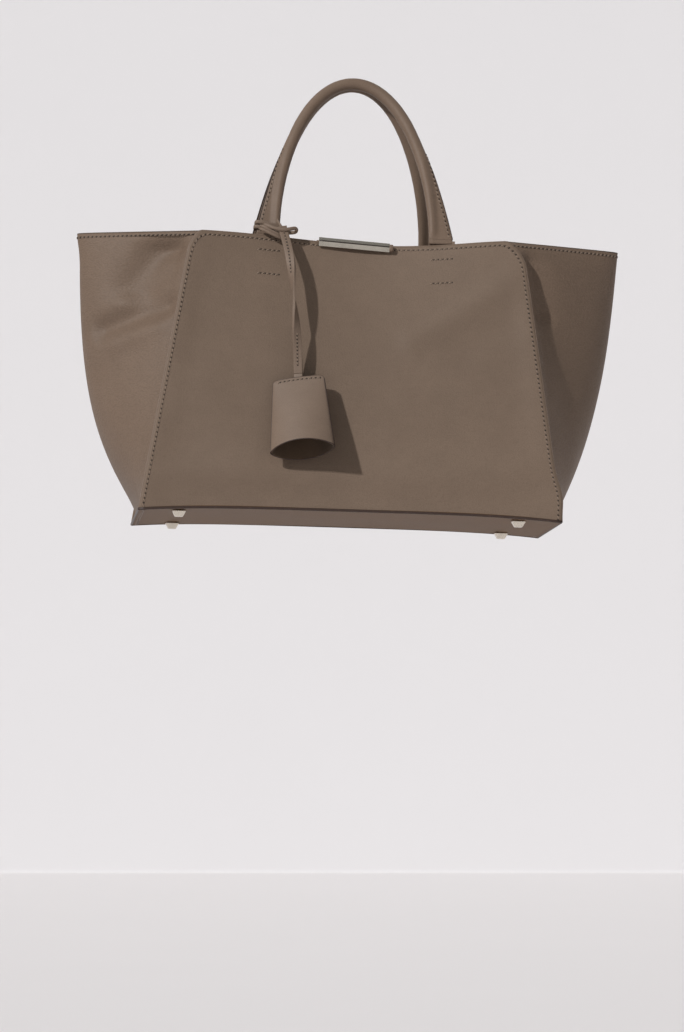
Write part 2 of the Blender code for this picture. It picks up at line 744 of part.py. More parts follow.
def add_strap_piece(name, start, end, round_width=False):
    """A stretch of the strap. A rounded end is a half disc that turns about its own centre."""
    half = STRAP_WIDTH / 2

    def place(u, v):
        share = (u + 1) / 2
        distance = mix(start, end, share)
        width = STRAP_WIDTH
        if round_width:
            turn = mix(ROUND_END_START, math.pi / 2, min(share / ROUND_END_SHARE, 1))
            width = STRAP_WIDTH * math.sin(turn)
            beyond = max(share - ROUND_END_SHARE, 0) / (1 - ROUND_END_SHARE)
            distance = mix(start + half * (1 - math.cos(turn)), end, beyond)
        point, along = smooth_route(STRAP_ROUTE, distance)
        turned = smooth((distance - TWIST_START) / (TWIST_END - TWIST_START))
        twist = (math.pi + BELL_YAW) * turned
        return band_point(point, along, twist, width, STRAP_PLY, v)

    rings = STRAP_RINGS if round_width else NECK_RINGS
    add_loft(name, rings, BAND_SIDES, place, (LEATHER_COLOUR, 0.5, 0.0))


def add_loops():
    """The strap's split end, cinched twice round the left leg of the front handle."""
    for word, height in zip(("lower", "upper"), LOOP_HEIGHTS):
        turn = math.pi - math.asin(height / HANDLE_RISE)
        radius, spread = tube_radius(height), tab_spread(height)
        room = LOOP_RADIUS + GAP
        middle = spread / 2
        half = radius + spread / 2 + room
        proud = mix(TAB_PLY / 2, radius, smooth(height / TUBE_END_HEIGHT)) + room

        def place(u, v):
            path = math.pi * u
            wide = math.copysign(abs(math.cos(path)) ** LOOP_CORNER_POWER, math.cos(path))
            deep = math.copysign(abs(math.sin(path)) ** LOOP_CORNER_POWER, math.sin(path))
            out = math.pi * v
            grow = LOOP_RADIUS * math.cos(out)
            x, y, z = handle_place(
                -1, turn, middle + (half + grow) * wide, (proud + grow) * deep,
            )
            return x, y, z + LOOP_RADIUS * math.sin(out)

        add_loft("lanyard_loop_" + word, LOOP_RINGS, LOOP_SIDES, place, (LEATHER_COLOUR, 0.5, 0.0))


def bell_frame():
    """The bell's own directions: across, out to the front, and down its length."""
    pitch = Matrix.Rotation(-BELL_PITCH, 3, "X")
    yaw = Matrix.Rotation(-BELL_YAW, 3, "Z")
    lean = Matrix.Rotation(-BELL_LEAN, 3, "Y")
    turned = lean @ yaw @ pitch
    across = turned @ Vector((1, 0, 0))
    front = turned @ Vector((0, -1, 0))
    down = turned @ Vector((0, 0, -1))
    return Vector(STRAP_ROUTE[-1]), across, front, down


def bell_point(wide, proud, down):
    origin, across, front, along = bell_frame()
    return origin + across * wide + front * proud + along * down


def add_tail():
    """The strap's end: rounded about the bell's hinge, and sewn between the two leaves."""
    length = HINGE_ABOVE_BELL + TAIL_INSIDE_BELL
    half = STRAP_PLY / 2

    def place(u, v):
        share = (u + 1) / 2
        angle = math.pi * v
        side = np.clip(BAND_SQUARENESS * math.cos(angle), -1, 1) * STRAP_WIDTH / 2
        face = np.clip(BAND_SQUARENESS * math.sin(angle), -1, 1)
        if share < 0.5:
            turn = mix(ROUND_END_START, math.pi / 2, share * 2)
            return bell_point(side, face * half * math.sin(turn), -half * math.cos(turn))
        return bell_point(side, face * half, length * (share * 2 - 1))

    add_loft("lanyard_tail", BAND_SIDES, BAND_SIDES, place, (LEATHER_COLOUR, 0.5, 0.0))


def add_leaf(word, side):
    """One leaf of the bell: bowed outwards from its side seams, more so at the mouth."""

    def place(u, v):
        share = (v + 1) / 2
        edge = BELL_EDGE_ARCH * (u * u - 1) if side > 0 else BELL_BACK_DIP * (1 - u * u)
        down = share * (BELL_LENGTH + edge)
        corner = BELL_CORNER * max(0, 1 - down / BELL_CORNER) ** 2
        half = mix(BELL_TOP_WIDTH, BELL_MOUTH_WIDTH, share) / 2 - corner
        bow = mix(BELL_TOP_RISE, BELL_MOUTH_RISE, share) * (1 - u * u) ** BELL_ROUND_POWER
        return bell_point(side * u * half, side * (GAP / 2 + bow), HINGE_ABOVE_BELL + down)

    add_sheet(
        "clochette_" + word, LEAF_COLUMNS, LEAF_ROWS, place, BELL_PLY, (LEATHER_COLOUR, 0.5, 0.0),
    )


def add_lanyard():
    add_loops()
    pivot = NECK_LENGTH + GAP
    add_strap_piece("lanyard_neck", -NECK_TOP, NECK_LENGTH)
    end = route_length() - STRAP_PLY / 2 - STRAP_END_FIT
    add_strap_piece("lanyard_strap", pivot, end, round_width=True)
    add_tail()
    add_leaf("front", 1)
    add_leaf("back", -1)


def clear_scene():
    for old in list(bpy.data.objects):
        bpy.data.objects.remove(old)
    for name in ("tote_bag", "cutters"):
        group = bpy.data.collections.new(name)
        bpy.context.scene.collection.children.link(group)


def main():
    clear_scene()
    add_walls()
    add_base()
    add_feet()
    add_handles()
    add_magnets()
    add_bar_seat()
    add_rim_bar()
    add_lanyard()
    print("handle hinge y and z", [round(float(value), 5) for value in handle_hinge()])
    print("lean in degrees", round(math.degrees(handle_lean()), 3))
    neck_pivot = smooth_route(STRAP_ROUTE, NECK_LENGTH + GAP + STRAP_WIDTH / 2)
    print("strap swing centre", [round(float(value), 5) for value in neck_pivot[0]])
    print("strap direction there", [round(float(value), 5) for value in neck_pivot[1]])


main()
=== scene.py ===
"""Leather tote with winged sides: its dressed surfaces, its plain studio and its camera."""

import logging
import math
from dataclasses import dataclass, field
from enum import Enum
from typing import Sequence

import bpy
import numpy as np
from mathutils import Matrix, Vector


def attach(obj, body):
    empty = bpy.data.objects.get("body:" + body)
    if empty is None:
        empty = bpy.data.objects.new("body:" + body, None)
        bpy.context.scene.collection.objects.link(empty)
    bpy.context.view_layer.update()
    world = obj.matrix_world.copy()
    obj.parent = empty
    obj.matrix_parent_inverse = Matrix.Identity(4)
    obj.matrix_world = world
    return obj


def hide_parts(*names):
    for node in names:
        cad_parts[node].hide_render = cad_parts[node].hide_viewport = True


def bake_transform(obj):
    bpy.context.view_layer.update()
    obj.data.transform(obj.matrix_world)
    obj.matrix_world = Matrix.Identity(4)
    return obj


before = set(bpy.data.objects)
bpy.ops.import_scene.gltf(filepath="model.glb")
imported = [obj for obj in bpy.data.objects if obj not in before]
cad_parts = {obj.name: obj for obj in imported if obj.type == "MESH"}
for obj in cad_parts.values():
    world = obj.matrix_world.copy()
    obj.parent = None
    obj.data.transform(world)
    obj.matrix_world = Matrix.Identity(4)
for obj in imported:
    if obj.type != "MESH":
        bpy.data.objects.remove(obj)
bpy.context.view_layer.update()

logging.basicConfig(level=logging.INFO, format="%(message)s")
LOG = logging.getLogger("tote")

Array = np.ndarray


class Side(Enum):
    """Two opposite sides, by the sign of the direction in which each one faces."""

    @property
    def word(self) -> str:
        """The side's word in the names of pieces."""
        return self.name.lower()


class Wall(Side):
    """The two broad walls, which face along y."""

    FRONT = -1
    BACK = 1


class Wing(Side):
    """The two side gussets, which face along x."""

    LEFT = -1
    RIGHT = 1


def mix(a: float, b: float, share: Array) -> Array:
    """Straight blend a + (b - a) * share."""
    return a + (b - a) * share


def smooth(share: Array) -> Array:
    """Smooth step 3s^2 - 2s^3 of a share held between 0 and 1."""
    share = np.clip(share, 0, 1)
    return share * share * (3 - 2 * share)


def unit(vectors: Array) -> Array:
    """Vectors, with XYZ as the last axis, divided by their own lengths."""
    return vectors / np.maximum(np.linalg.norm(vectors, axis=-1, keepdims=True), 1e-12)


class Value:
    """A node socket with the arithmetic of numbers, each operation one Math node."""

    def __init__(self, graph: "Graph", socket: object) -> None:
        """Keeps the socket and the graph that holds it."""
        self.graph = graph
        self.socket = socket

    def _math(self, operation: str, first: object, second: object) -> "Value":
        """One Math node of two terms, numbers or values."""
        return self.graph.node("ShaderNodeMath", {"operation": operation}, {0: first, 1: second})

    def __add__(self, other: object) -> "Value":
        """Sum."""
        return self._math("ADD", self, other)

    __radd__ = __add__

    def __sub__(self, other: object) -> "Value":
        """Difference."""
        return self._math("SUBTRACT", self, other)

    def __rsub__(self, other: object) -> "Value":
        """Difference from a number, such as 1 - mask."""
        return self._math("SUBTRACT", other, self)

    def __mul__(self, other: object) -> "Value":
        """Product."""
        return self._math("MULTIPLY", self, other)

    __rmul__ = __mul__

    def ramp(self, low: float, high: float) -> "Value":
        """Smooth step of the value from low to high.

        Args:
            low: Value that gives 0.
            high: Value that gives 1.

        Returns:
            The eased mask.
        """
        settings = {"interpolation_type": "SMOOTHSTEP"}
        sockets = {"Value": self, "From Min": low, "From Max": high}
        return self.graph.node("ShaderNodeMapRange", settings, sockets)


class Graph:
    """A material's node tree, with one method that adds and links any node."""

    def __init__(self, name: str) -> None:
        """Starts a material that holds a Principled shader and its output."""
        self.material = bpy.data.materials.new(name)
        self.material.use_nodes = True
        self.tree = self.material.node_tree
        self.shader = self.tree.nodes["Principled BSDF"]
        self.place = self.tree.nodes.new("ShaderNodeTexCoord").outputs["Object"]

    def node(self, kind: str, settings: dict, sockets: dict, output: object = 0) -> Value:
        """Adds a node, sets it up, then fills or links its sockets.

        Args:
            kind: The node's type.
            settings: Properties that are set first.
            sockets: Numbers, colours, sockets or values by input name or index.
            output: Which output the result reads.

        Returns:
            The output as a value.
        """
        made = self.tree.nodes.new(kind)
        for key, value in settings.items():
            setattr(made, key, value)
        for key, value in sockets.items():
            self.feed(made.inputs[key], value)
        return Value(self, made.outputs[output])

    def feed(self, target: object, value: object) -> None:
        """Links a value or socket to an input, or writes a constant there."""
        if isinstance(value, Value):
            value = value.socket
        if isinstance(value, bpy.types.NodeSocket):
            self.tree.links.new(value, target)
        else:
            target.default_value = value

    def _stretched(self, stretch: Sequence[float]) -> Value:
        """The object's own coordinates, scaled along each axis."""
        return self.node("ShaderNodeMapping", {"vector_type": "POINT"},
                         {"Vector": self.place, "Scale": stretch})

    def noise(self, scale: float, detail: float = 3.0,
              stretch: Sequence[float] = (1, 1, 1)) -> Value:
        """Noise on the object's own coordinates.

        Args:
            scale: Waves per metre, about.
            detail: Octaves.
            stretch: Scale along each axis before the noise.

        Returns:
            The noise's value, about 0.5 in the middle.
        """
        return self.node("ShaderNodeTexNoise", {"noise_dimensions": "3D"},
                         {"Vector": self._stretched(stretch), "Scale": scale, "Detail": detail,
                          "Roughness": 0.5})

    def cells(self, scale: float, stretch: Sequence[float] = (1, 1, 1)) -> Value:
        """Distance to the nearest point of a scattered pattern.

        Args:
            scale: Cells per metre, about.
            stretch: Scale along each axis before the pattern.

        Returns:
            The distance.
        """
        return self.node("ShaderNodeTexVoronoi", {"feature": "F1"},
                         {"Vector": self._stretched(stretch), "Scale": scale}, "Distance")

    def blend(self, first: object, second: object, share: object) -> Value:
        """Mixes two colours by a share.

        Args:
            first: Colour at share 0.
            second: Colour at share 1.
            share: Number or value.

        Returns:
            The mixed colour.
        """
        made = self.tree.nodes.new("ShaderNodeMix")
        made.data_type = "RGBA"
        made.blend_type = "MIX"
        self.feed(made.inputs[0], share)
        self.feed(made.inputs[6], first)
        self.feed(made.inputs[7], second)
        return Value(self, made.outputs[2])

    def bump(self, height: Value, depth: float, before: Value = None) -> Value:
        """A Bump node.

        Args:
            height: Surface height, 0 to 1.
            depth: Height of 1 in metres.
            before: An earlier bump that this one adds to.

        Returns:
            The normal.
        """
        sockets = {"Height": height, "Distance": depth, "Strength": 1.0}
        if before is not None:
            sockets["Normal"] = before
        return self.node("ShaderNodeBump", {}, sockets)

    def finish(self, **sockets: object) -> bpy.types.Material:
        """Feeds the shader's inputs, whose names are given with underscores.

        Args:
            **sockets: Values, colours or numbers.

        Returns:
            The finished material.
        """
        for key, value in sockets.items():
            self.feed(self.shader.inputs[key.replace("_", " ")], value)
        return self.material


def srgb(red: float, green: float, blue: float) -> tuple[float, float, float, float]:
    """A colour written as 0 to 255 screen values, as the linear colour that shaders take."""
    shares = [value / 255 for value in (red, green, blue)]
    linear = [s / 12.92 if s <= 0.04045 else ((s + 0.055) / 1.055) ** 2.4 for s in shares]
    return (*linear, 1.0)


@dataclass(frozen=True)
class Finish:
    """What every finish has: its name and its colour."""

    name: str
    colour: tuple

    def shade(self, factor: float) -> tuple[float, ...]:
        """The colour times a factor, held at 1."""
        return tuple(min(1, c * factor) for c in self.colour[:3]) + (1.0,)


@dataclass(frozen=True)
class Leather(Finish):
    """Grained calf leather: fine pebbled cells under faint level striations, softly mottled."""

    dark: tuple
    roughness: float = 0.6
    grain: float = 950.0
    grain_depth: float = 0.00016
    striation_depth: float = 0.00004
    mottle: float = 0.4

    def make(self) -> bpy.types.Material:
        """Builds the material."""
        g = Graph(self.name)
        cloud = g.noise(9.0, 4.0)
        fine = g.noise(70.0, 4.0)
        stria = g.noise(90.0, 3.0, (1.0, 1.0, 8.0))
        thread = g.noise(300.0, 3.0, (1.0, 1.0, 5.0))
        pebble = g.cells(self.grain, (1.0, 1.0, 1.5))
        pores = g.noise(self.grain * 0.8, 2.0)
        tone = (cloud * 0.7 + fine * 0.3).ramp(0.3, 0.72)
        base = g.blend(self.dark, self.colour, tone * self.mottle + (1 - self.mottle))
        base = g.blend(base, self.dark, (1 - stria.ramp(0.30, 0.55)) * 0.10)
        base = g.blend(base, self.dark, pebble.ramp(0.35, 0.85) * 0.40)
        rough = cloud * 0.12 + pores * 0.12 + (self.roughness - 0.12)
        normal = g.bump(stria * 0.6 + thread * 0.4, self.striation_depth)
        normal = g.bump((1 - pebble) * 0.75 + pores * 0.25, self.grain_depth, normal)
        return g.finish(Base_Color=base, Roughness=rough, Normal=normal, Specular_IOR_Level=0.27)


@dataclass(frozen=True)
class EdgePaint(Finish):
    """Dark painted edge of cut leather, slightly domed and worn; also painted shade in holes and
    on the bar's ridge.
    """

    def make(self) -> bpy.types.Material:
        """Builds the material."""
        g = Graph(self.name)
        worn = g.noise(240.0, 3.0)
        base = g.blend(self.colour, self.shade(1.9), worn.ramp(0.52, 0.8) * 0.6)
        return g.finish(Base_Color=base, Roughness=worn * 0.2 + 0.34,
                        Normal=g.bump(worn, 0.00012), Specular_IOR_Level=0.45)


@dataclass(frozen=True)
class Thread(Finish):
    """Waxed sewing thread with its twist."""

    def make(self) -> bpy.types.Material:
        """Builds the material."""
        g = Graph(self.name)
        twist = g.noise(2600.0, 1.0, (1.0, 1.0, 0.6))
        base = g.blend(self.shade(0.62), self.colour, twist.ramp(0.35, 0.6))
        return g.finish(Base_Color=base, Roughness=0.62, Normal=g.bump(twist, 0.0001))


@dataclass(frozen=True)
class Suede(Finish):
    """Napped lining leather, brushed in soft patches."""

    dark: tuple

    def make(self) -> bpy.types.Material:
        """Builds the material."""
        g = Graph(self.name)
        patch = g.noise(16.0, 5.0)
        nap = g.noise(1900.0, 3.0)
        base = g.blend(self.dark, self.colour, (patch * 0.65 + nap * 0.35).ramp(0.32, 0.68))
        return g.finish(Base_Color=base, Roughness=0.92, Normal=g.bump(nap, 0.00016),
                        Sheen_Weight=0.25, Sheen_Roughness=0.5, Specular_IOR_Level=0.2)


@dataclass(frozen=True)
class Fibre(Finish):
    """Pressed board of leather fibre, speckled."""

    def make(self) -> bpy.types.Material:
        """Builds the material."""
        g = Graph(self.name)
        speck = g.noise(420.0, 4.0)
        base = g.blend(self.shade(0.6), self.colour, speck.ramp(0.35, 0.6))
        return g.finish(Base_Color=base, Roughness=0.85, Normal=g.bump(speck, 0.0002))


@dataclass(frozen=True)
class Plate(Finish):
    """Polished plated metal with fine brushed lines and handling marks."""

    roughness: float = 0.24
    brushing: tuple = (3.0, 60.0, 60.0)

    def make(self) -> bpy.types.Material:
        """Builds the material."""
        g = Graph(self.name)
        lines = g.noise(26.0, 3.0, self.brushing)
        smear = g.noise(120.0, 4.0)
        base = g.blend(self.colour, self.shade(0.82), smear.ramp(0.4, 0.75) * 0.6)
        rough = lines * 0.10 + smear.ramp(0.4, 0.8) * 0.12 + (self.roughness - 0.08)
        return g.finish(Base_Color=base, Roughness=rough, Metallic=1.0,
                        Normal=g.bump(lines, 0.00001))


@dataclass(frozen=True)
class Rope(Finish):
    """Laid cotton rope."""

    def make(self) -> bpy.types.Material:
        """Builds the material."""
        g = Graph(self.name)
        yarn = g.cells(900.0)
        base = g.blend(self.colour, self.shade(0.55), yarn.ramp(0.3, 0.8))
        return g.finish(Base_Color=base, Roughness=0.9, Normal=g.bump(yarn, 0.0003))


@dataclass(frozen=True)
class StageWhite(Finish):
    """Pale plain paper of the studio."""

    def make(self) -> bpy.types.Material:
        """Builds the material."""
        g = Graph(self.name)
        fibre = g.noise(3.0, 3.0)
        return g.finish(Base_Color=g.blend(self.colour, self.shade(0.985), fibre), Roughness=0.9,
                        Specular_IOR_Level=0.1)


TAUPE = srgb(121, 103, 88)
TAUPE_DARK = srgb(102, 86, 73)

SKIN = Leather("taupe_grain", TAUPE, TAUPE_DARK)
HANDLE_SKIN = Leather("handle_grain", srgb(122, 103, 88), srgb(98, 81, 68), 0.52, 1300.0, 0.00013)
STRAP_SKIN = Leather("strap_grain", srgb(126, 108, 94), srgb(104, 88, 75), 0.56, 1300.0, 0.00008)
# Wing leather: the bag's leather a little redder, and darker as painted shade that tones down how
# brightly the sun falls on the wings.
WING_SKIN_SHADED = Leather("wing_grain_painted_shade", srgb(118, 99, 84), srgb(99, 83, 70), 0.58, 520.0, 0.00034)
BASE_SKIN = Leather("base_grain", srgb(108, 82, 58), srgb(92, 69, 48), 0.62)
PAINT = EdgePaint("brown_edge_paint", srgb(58, 42, 34))
PALE_PAINT = EdgePaint("taupe_edge_paint", srgb(112, 93, 79))
THREAD = Thread("taupe_thread", srgb(138, 119, 103))
# Painted shade: the dark of the needle holes and of the line along the bar's ridge.
HOLE_SHADE = EdgePaint("hole_painted_shade", srgb(40, 29, 23))
SUEDE = Suede("suede_lining", srgb(122, 101, 84), srgb(96, 78, 64))
# Inner face of the bell's leaves: suede texture in a colour darkened as painted shade inside the
# bell's mouth.
BELL_INSIDE_SHADE = Suede("bell_inside_painted_shade", srgb(88, 70, 54), srgb(66, 52, 40))
FIBREBOARD = Fibre("bonded_fibre", srgb(150, 130, 104))
BAR_PLATE = Plate("bar_plate", srgb(196, 190, 178), 0.22, (2.0, 90.0, 90.0))
FOOT_PLATE = Plate("foot_plate", srgb(226, 217, 203), 0.3, (60.0, 60.0, 8.0))
STEEL = Plate("washer_plate", srgb(190, 188, 184), 0.4, (60.0, 60.0, 60.0))
ROPE = Rope("cotton_rope", srgb(205, 190, 160))

_MADE: dict[str, bpy.types.Material] = {}

# Size of a tube's end cap, as a share of its last ring.
CAP_SHARE = 0.02


def finish_of(finish: Finish) -> bpy.types.Material:
    """The material of a finish, built once.

    Args:
        finish: One of the finishes above.

    Returns:
        Its material.
    """
    if finish.name not in _MADE:
        _MADE[finish.name] = finish.make()
    return _MADE[finish.name]


def add_mesh(name: str, points: Array, faces: Array, finish: Finish, body: str = "bag",
             smooth_shade: bool = True) -> bpy.types.Object:
    """Puts a mesh of whole arrays into the scene.

    Args:
        name: The piece's name.
        points: Corners in metres, with XYZ as the last axis.
        faces: Quads, M by 4, or a list of faces.
        finish: The finish it wears.
        body: CAD body that it rides on, if any.
        smooth_shade: Whether its faces are shaded smooth.

    Returns:
        The object.
    """
    mesh = bpy.data.meshes.new(name)
    faces = faces.tolist() if isinstance(faces, np.ndarray) else faces
    mesh.from_pydata(np.asarray(points, float).reshape(-1, 3), [], faces)
    mesh.polygons.foreach_set("use_smooth", np.full(len(mesh.polygons), smooth_shade))
    mesh.update()
    mesh.materials.append(finish_of(finish))
    made = bpy.data.objects.new(name, mesh)
    bpy.context.scene.collection.objects.link(made)
    if body:
        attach(made, body)
    return made


def grid_faces(rows: int, columns: int, wrap_rows: bool = False, wrap_columns: bool = False,
               flip: bool = False) -> Array:
    """Quads of a grid whose corner (i, j) has index i * columns + j.

    Args:
        rows: Corners along the first share.
        columns: Corners along the second share.
        wrap_rows: Whether the last row joins the first.
        wrap_columns: Whether the last column joins the first.
        flip: Whether the faces turn the other way.

    Returns:
        Quads, M by 4.
    """
    i = np.arange(rows if wrap_rows else rows - 1)[:, None]
    j = np.arange(columns if wrap_columns else columns - 1)[None, :]
    i2, j2 = (i + 1) % rows, (j + 1) % columns
    quads = np.stack([i * columns + j, i * columns + j2, i2 * columns + j2, i2 * columns + j], -1)
    quads = quads.reshape(-1, 4)
    return quads[:, ::-1] if flip else quads


def add_sheet(name: str, points: Array, finish: Finish, thickness: float = 0.0, body: str = "bag",
              flip: bool = False, offset: float = -1.0, inner: Finish = None) -> bpy.types.Object:
    """A sheet over a grid of points, given a thickness that grows away from its outer face.

    Args:
        name: The piece's name.
        points: Rows by columns by 3.
        finish: The finish it wears.
        thickness: Ply in metres.
        body: CAD body that it rides on.
        flip: Whether the outer face is the grid's other side.
        offset: Solidify's offset.
        inner: Finish of the face that the thickness makes, if it differs.

    Returns:
        The object.
    """
    rows, columns = points.shape[:2]
    made = add_mesh(name, points, grid_faces(rows, columns, flip=flip), finish, body)
    if thickness:
        ply = made.modifiers.new("ply", "SOLIDIFY")
        ply.thickness = thickness
        ply.offset = offset
        ply.use_even_offset = True
        if inner is not None:
            made.data.materials.append(finish_of(inner))
            ply.material_offset = 1
    return made


def add_tube(name: str, rings: Array, finish: Finish, body: str = "bag", closed: bool = False,
             flip: bool = False) -> bpy.types.Object:
    """A closed skin over rings of points, its two ends capped by shrinking onto their centres.

    Args:
        name: The piece's name.
        rings: Rings by sides by 3.
        finish: The finish it wears.
        body: CAD body that it rides on.
        closed: Whether the last ring joins the first.
        flip: Whether the faces turn the other way.

    Returns:
        The object.
    """
    if not closed:
        ends = [rings[:1].mean(1, keepdims=True), rings[-1:].mean(1, keepdims=True)]
        near = [end + (ring - end) * CAP_SHARE for end, ring in zip(ends, (rings[:1], rings[-1:]))]
        rings = np.concatenate([near[0], rings, near[1]])
    count, sides = rings.shape[:2]
    faces = grid_faces(count, sides, closed, True, flip).tolist()
    if not closed:
        low, high = list(range(sides)), list(range((count - 1) * sides, count * sides))
        faces += [low if flip else low[::-1], high[::-1] if flip else high]
    return add_mesh(name, rings, faces, finish, body)


def around(count: int) -> Array:
    """Even angles once round, from 0."""
    return np.linspace(0, 2 * math.pi, count, endpoint=False)


def moved(matrix: Matrix, points: Array) -> Array:
    """Points put through a matrix, in an array of the same shape."""
    flat = [matrix @ Vector(point) for point in points.reshape(-1, 3)]
    return np.array(flat).reshape(points.shape)


def lengths(path: Array) -> Array:
    """Running length along a path, from 0."""
    return np.concatenate([[0.0], np.cumsum(np.linalg.norm(np.diff(path, axis=0), axis=1))])


def resample(path: Array, distances: Array) -> Array:
    """Points at distances along a path, straight between its points.

    Args:
        path: N by 3.
        distances: Distances from the path's start.

    Returns:
        One point for each distance.
    """
    run = lengths(path)
    return np.stack([np.interp(distances, run, path[:, axis]) for axis in range(3)], -1)


def curve_through(points: Sequence[Sequence[float]], count: int) -> Array:
    """Catmull-Rom curve through points, then evened to equal steps.

    p(s) = h00 P1 + h10 (P2 - P0) / 2 + h01 P2 + h11 (P3 - P1) / 2 on each span.

    Args:
        points: The points that it passes.
        count: Points returned.

    Returns:
        Count by 3.
    """
    knots = np.array(points, float)
    ends = np.concatenate([[2 * knots[0] - knots[1]], knots, [2 * knots[-1] - knots[-2]]])
    s = np.linspace(0, len(knots) - 1, 24 * len(knots))
    k = np.minimum(s.astype(int), len(knots) - 2)
    u = (s - k)[:, None]
    p0, p1, p2, p3 = ends[k], ends[k + 1], ends[k + 2], ends[k + 3]
    line = ((2 * u**3 - 3 * u**2 + 1) * p1 + (u**3 - 2 * u**2 + u) * (p2 - p0) / 2
            + (3 * u**2 - 2 * u**3) * p2 + (u**3 - u**2) * (p3 - p1) / 2)
    return resample(line, np.linspace(0, lengths(line)[-1], count))


def directions(path: Array, closed: bool = False) -> Array:
    """Unit direction of a path at each of its points."""
    if closed:
        return unit(np.roll(path, -1, 0) - np.roll(path, 1, 0))
    return unit(np.gradient(path, axis=0))


def bead_rings(path: Array, up: Array, half_wide: float, half_high: float, sides: int = 10,
               closed: bool = False) -> Array:
    """Rings of an elliptical bead: p + a cos(k) half_wide + up sin(k) half_high, a = up x along.

    Args:
        path: Middle line, N by 3.
        up: Direction of the bead's crown at each point, N by 3 or 3.
        half_wide: Half its width.
        half_high: Half its height.
        sides: Sides of the ellipse.
        closed: Whether the path is a ring.

    Returns:
        N by sides by 3.
    """
    along = directions(path, closed)
    across = unit(np.cross(np.broadcast_to(up, path.shape), along))
    crown = np.cross(along, across)
    k = around(sides)[None, :, None]
    wide = np.broadcast_to(np.asarray(half_wide), (len(path),))[:, None, None]
    high = np.broadcast_to(np.asarray(half_high), (len(path),))[:, None, None]
    return path[:, None] + across[:, None] * np.cos(k) * wide + crown[:, None] * np.sin(k) * high


def add_bead(name: str, line: Array, up: Array, halves: Sequence[float], finish: Finish,
             body: str = "bag", closed: bool = False) -> bpy.types.Object:
    """A bead along a line as a piece.

    Args:
        name: The piece's name.
        line: Its middle line, N by 3.
        up: Direction of its crown.
        halves: Half its width and half its height.
        finish: The finish it wears.
        body: CAD body that it rides on.
        closed: Whether the line is a ring.

    Returns:
        The object.
    """
    rings = bead_rings(line, up, *halves, closed=closed)
    return add_tube(name, rings, finish, body, closed=closed)


@dataclass
class Stitching:
    """Rows of stitches laid along paths: each one is a small tapered bead between two holes."""

    pitch: float = 0.0041
    length: float = 0.0032
    width: float = 0.0012
    proud: float = 0.0006
    hole: float = 0.0012
    slant: float = 0.62
    lift: float = 0.15
    hole_narrow: float = 0.6
    hole_levels: tuple = (-0.00002, 0.00006)
    reach: float = 0.0005
    rows: list = field(default_factory=list)

    def row(self, path: Array, normal: Array) -> None:
        """Adds a row.

        Args:
            path: Line of the row on the surface, N by 3.
            normal: Outward direction there, N by 3 or 3.
        """
        normal = np.broadcast_to(normal, path.shape)
        run = lengths(path)
        count = max(int(run[-1] / self.pitch), 1)
        at = (np.arange(count) + 0.5) * run[-1] / count
        out = unit(np.stack([np.interp(at, run, normal[:, axis]) for axis in range(3)], -1))
        along = unit(resample(path, np.minimum(at + self.reach, run[-1]))
                     - resample(path, np.maximum(at - self.reach, 0)))
        self.rows.append((resample(path, at), along, out, run[-1] / count))

    def build(self, name: str, body: str) -> list[bpy.types.Object]:
        """Makes the thread, and dark discs of painted shade in its needle holes, as two pieces.

        Args:
            name: Start of the pieces' names.
            body: CAD body that they ride on.

        Returns:
            The two pieces.
        """
        middle, along, out = (np.concatenate([row[k] for row in self.rows]) for k in range(3))
        step = np.concatenate([np.full(len(row[0]), row[3]) for row in self.rows])[:, None]
        across = np.cross(out, along)
        turned = along * math.cos(self.slant) + across * math.sin(self.slant)
        across = np.cross(out, turned)
        stations = np.array([-1.0, -0.72, -0.2, 0.2, 0.72, 1.0])
        swell = np.array([0.05, 0.72, 1.0, 1.0, 0.72, 0.05])
        k = around(6)
        spot = self._spread(middle, (turned, (stations * self.length / 2)[:, None]),
                            (across, swell[:, None] * np.cos(k) * self.width / 2),
                            (out, swell[:, None] * (np.sin(k) + self.lift) * self.proud))
        made = [self._many(name + "_stitches", spot, THREAD, body)]
        # Dark discs at each needle hole, at the surface: painted shade standing in for the hollow
        # of the hole.
        centre = middle + along * step / 2
        ring = np.array([1.0, 0.05])
        steep = unit(along * 0.5 + np.cross(out, along) * 0.87)
        level = np.cross(out, steep)
        hole = self._spread(centre, (steep, ring[:, None] * np.cos(k) * self.hole),
                            (level, ring[:, None] * np.sin(k) * self.hole * self.hole_narrow),
                            (out, np.array(self.hole_levels)[:, None]))
        return made + [self._many(name + "_holes", hole, HOLE_SHADE, body)]

    @staticmethod
    def _spread(middle: Array, *ways: tuple[Array, Array]) -> Array:
        """Points of every skin: its middle plus each direction times its ring sizes.

        Args:
            middle: Middle of each skin, count by 3.
            *ways: A direction for each skin, and rings by sides of distances along it.

        Returns:
            Count by rings by sides by 3.
        """
        made = middle[:, None, None]
        for way, sizes in ways:
            made = made + way[:, None, None] * sizes[None, ..., None]
        return made

    @staticmethod
    def _many(name: str, spot: Array, finish: Finish, body: str) -> bpy.types.Object:
        """One mesh of many small skins, each a stack of six-sided rings with its ends closed.

        Args:
            name: The piece's name.
            spot: Count by rings by sides by 3.
            finish: The finish.
            body: CAD body that it rides on.

        Returns:
            The object.
        """
        count, rings, sides = spot.shape[:3]
        last = (rings - 1) * sides
        caps = np.array([[3, 2, 1, 0], [5, 4, 3, 0]])
        one = np.concatenate([grid_faces(rings, sides, wrap_columns=True), caps,
                              last + caps[:, ::-1]])
        every = (one[None] + (np.arange(count) * rings * sides)[:, None, None]).reshape(-1, 4)
        return add_mesh(name, spot, every, finish, body)


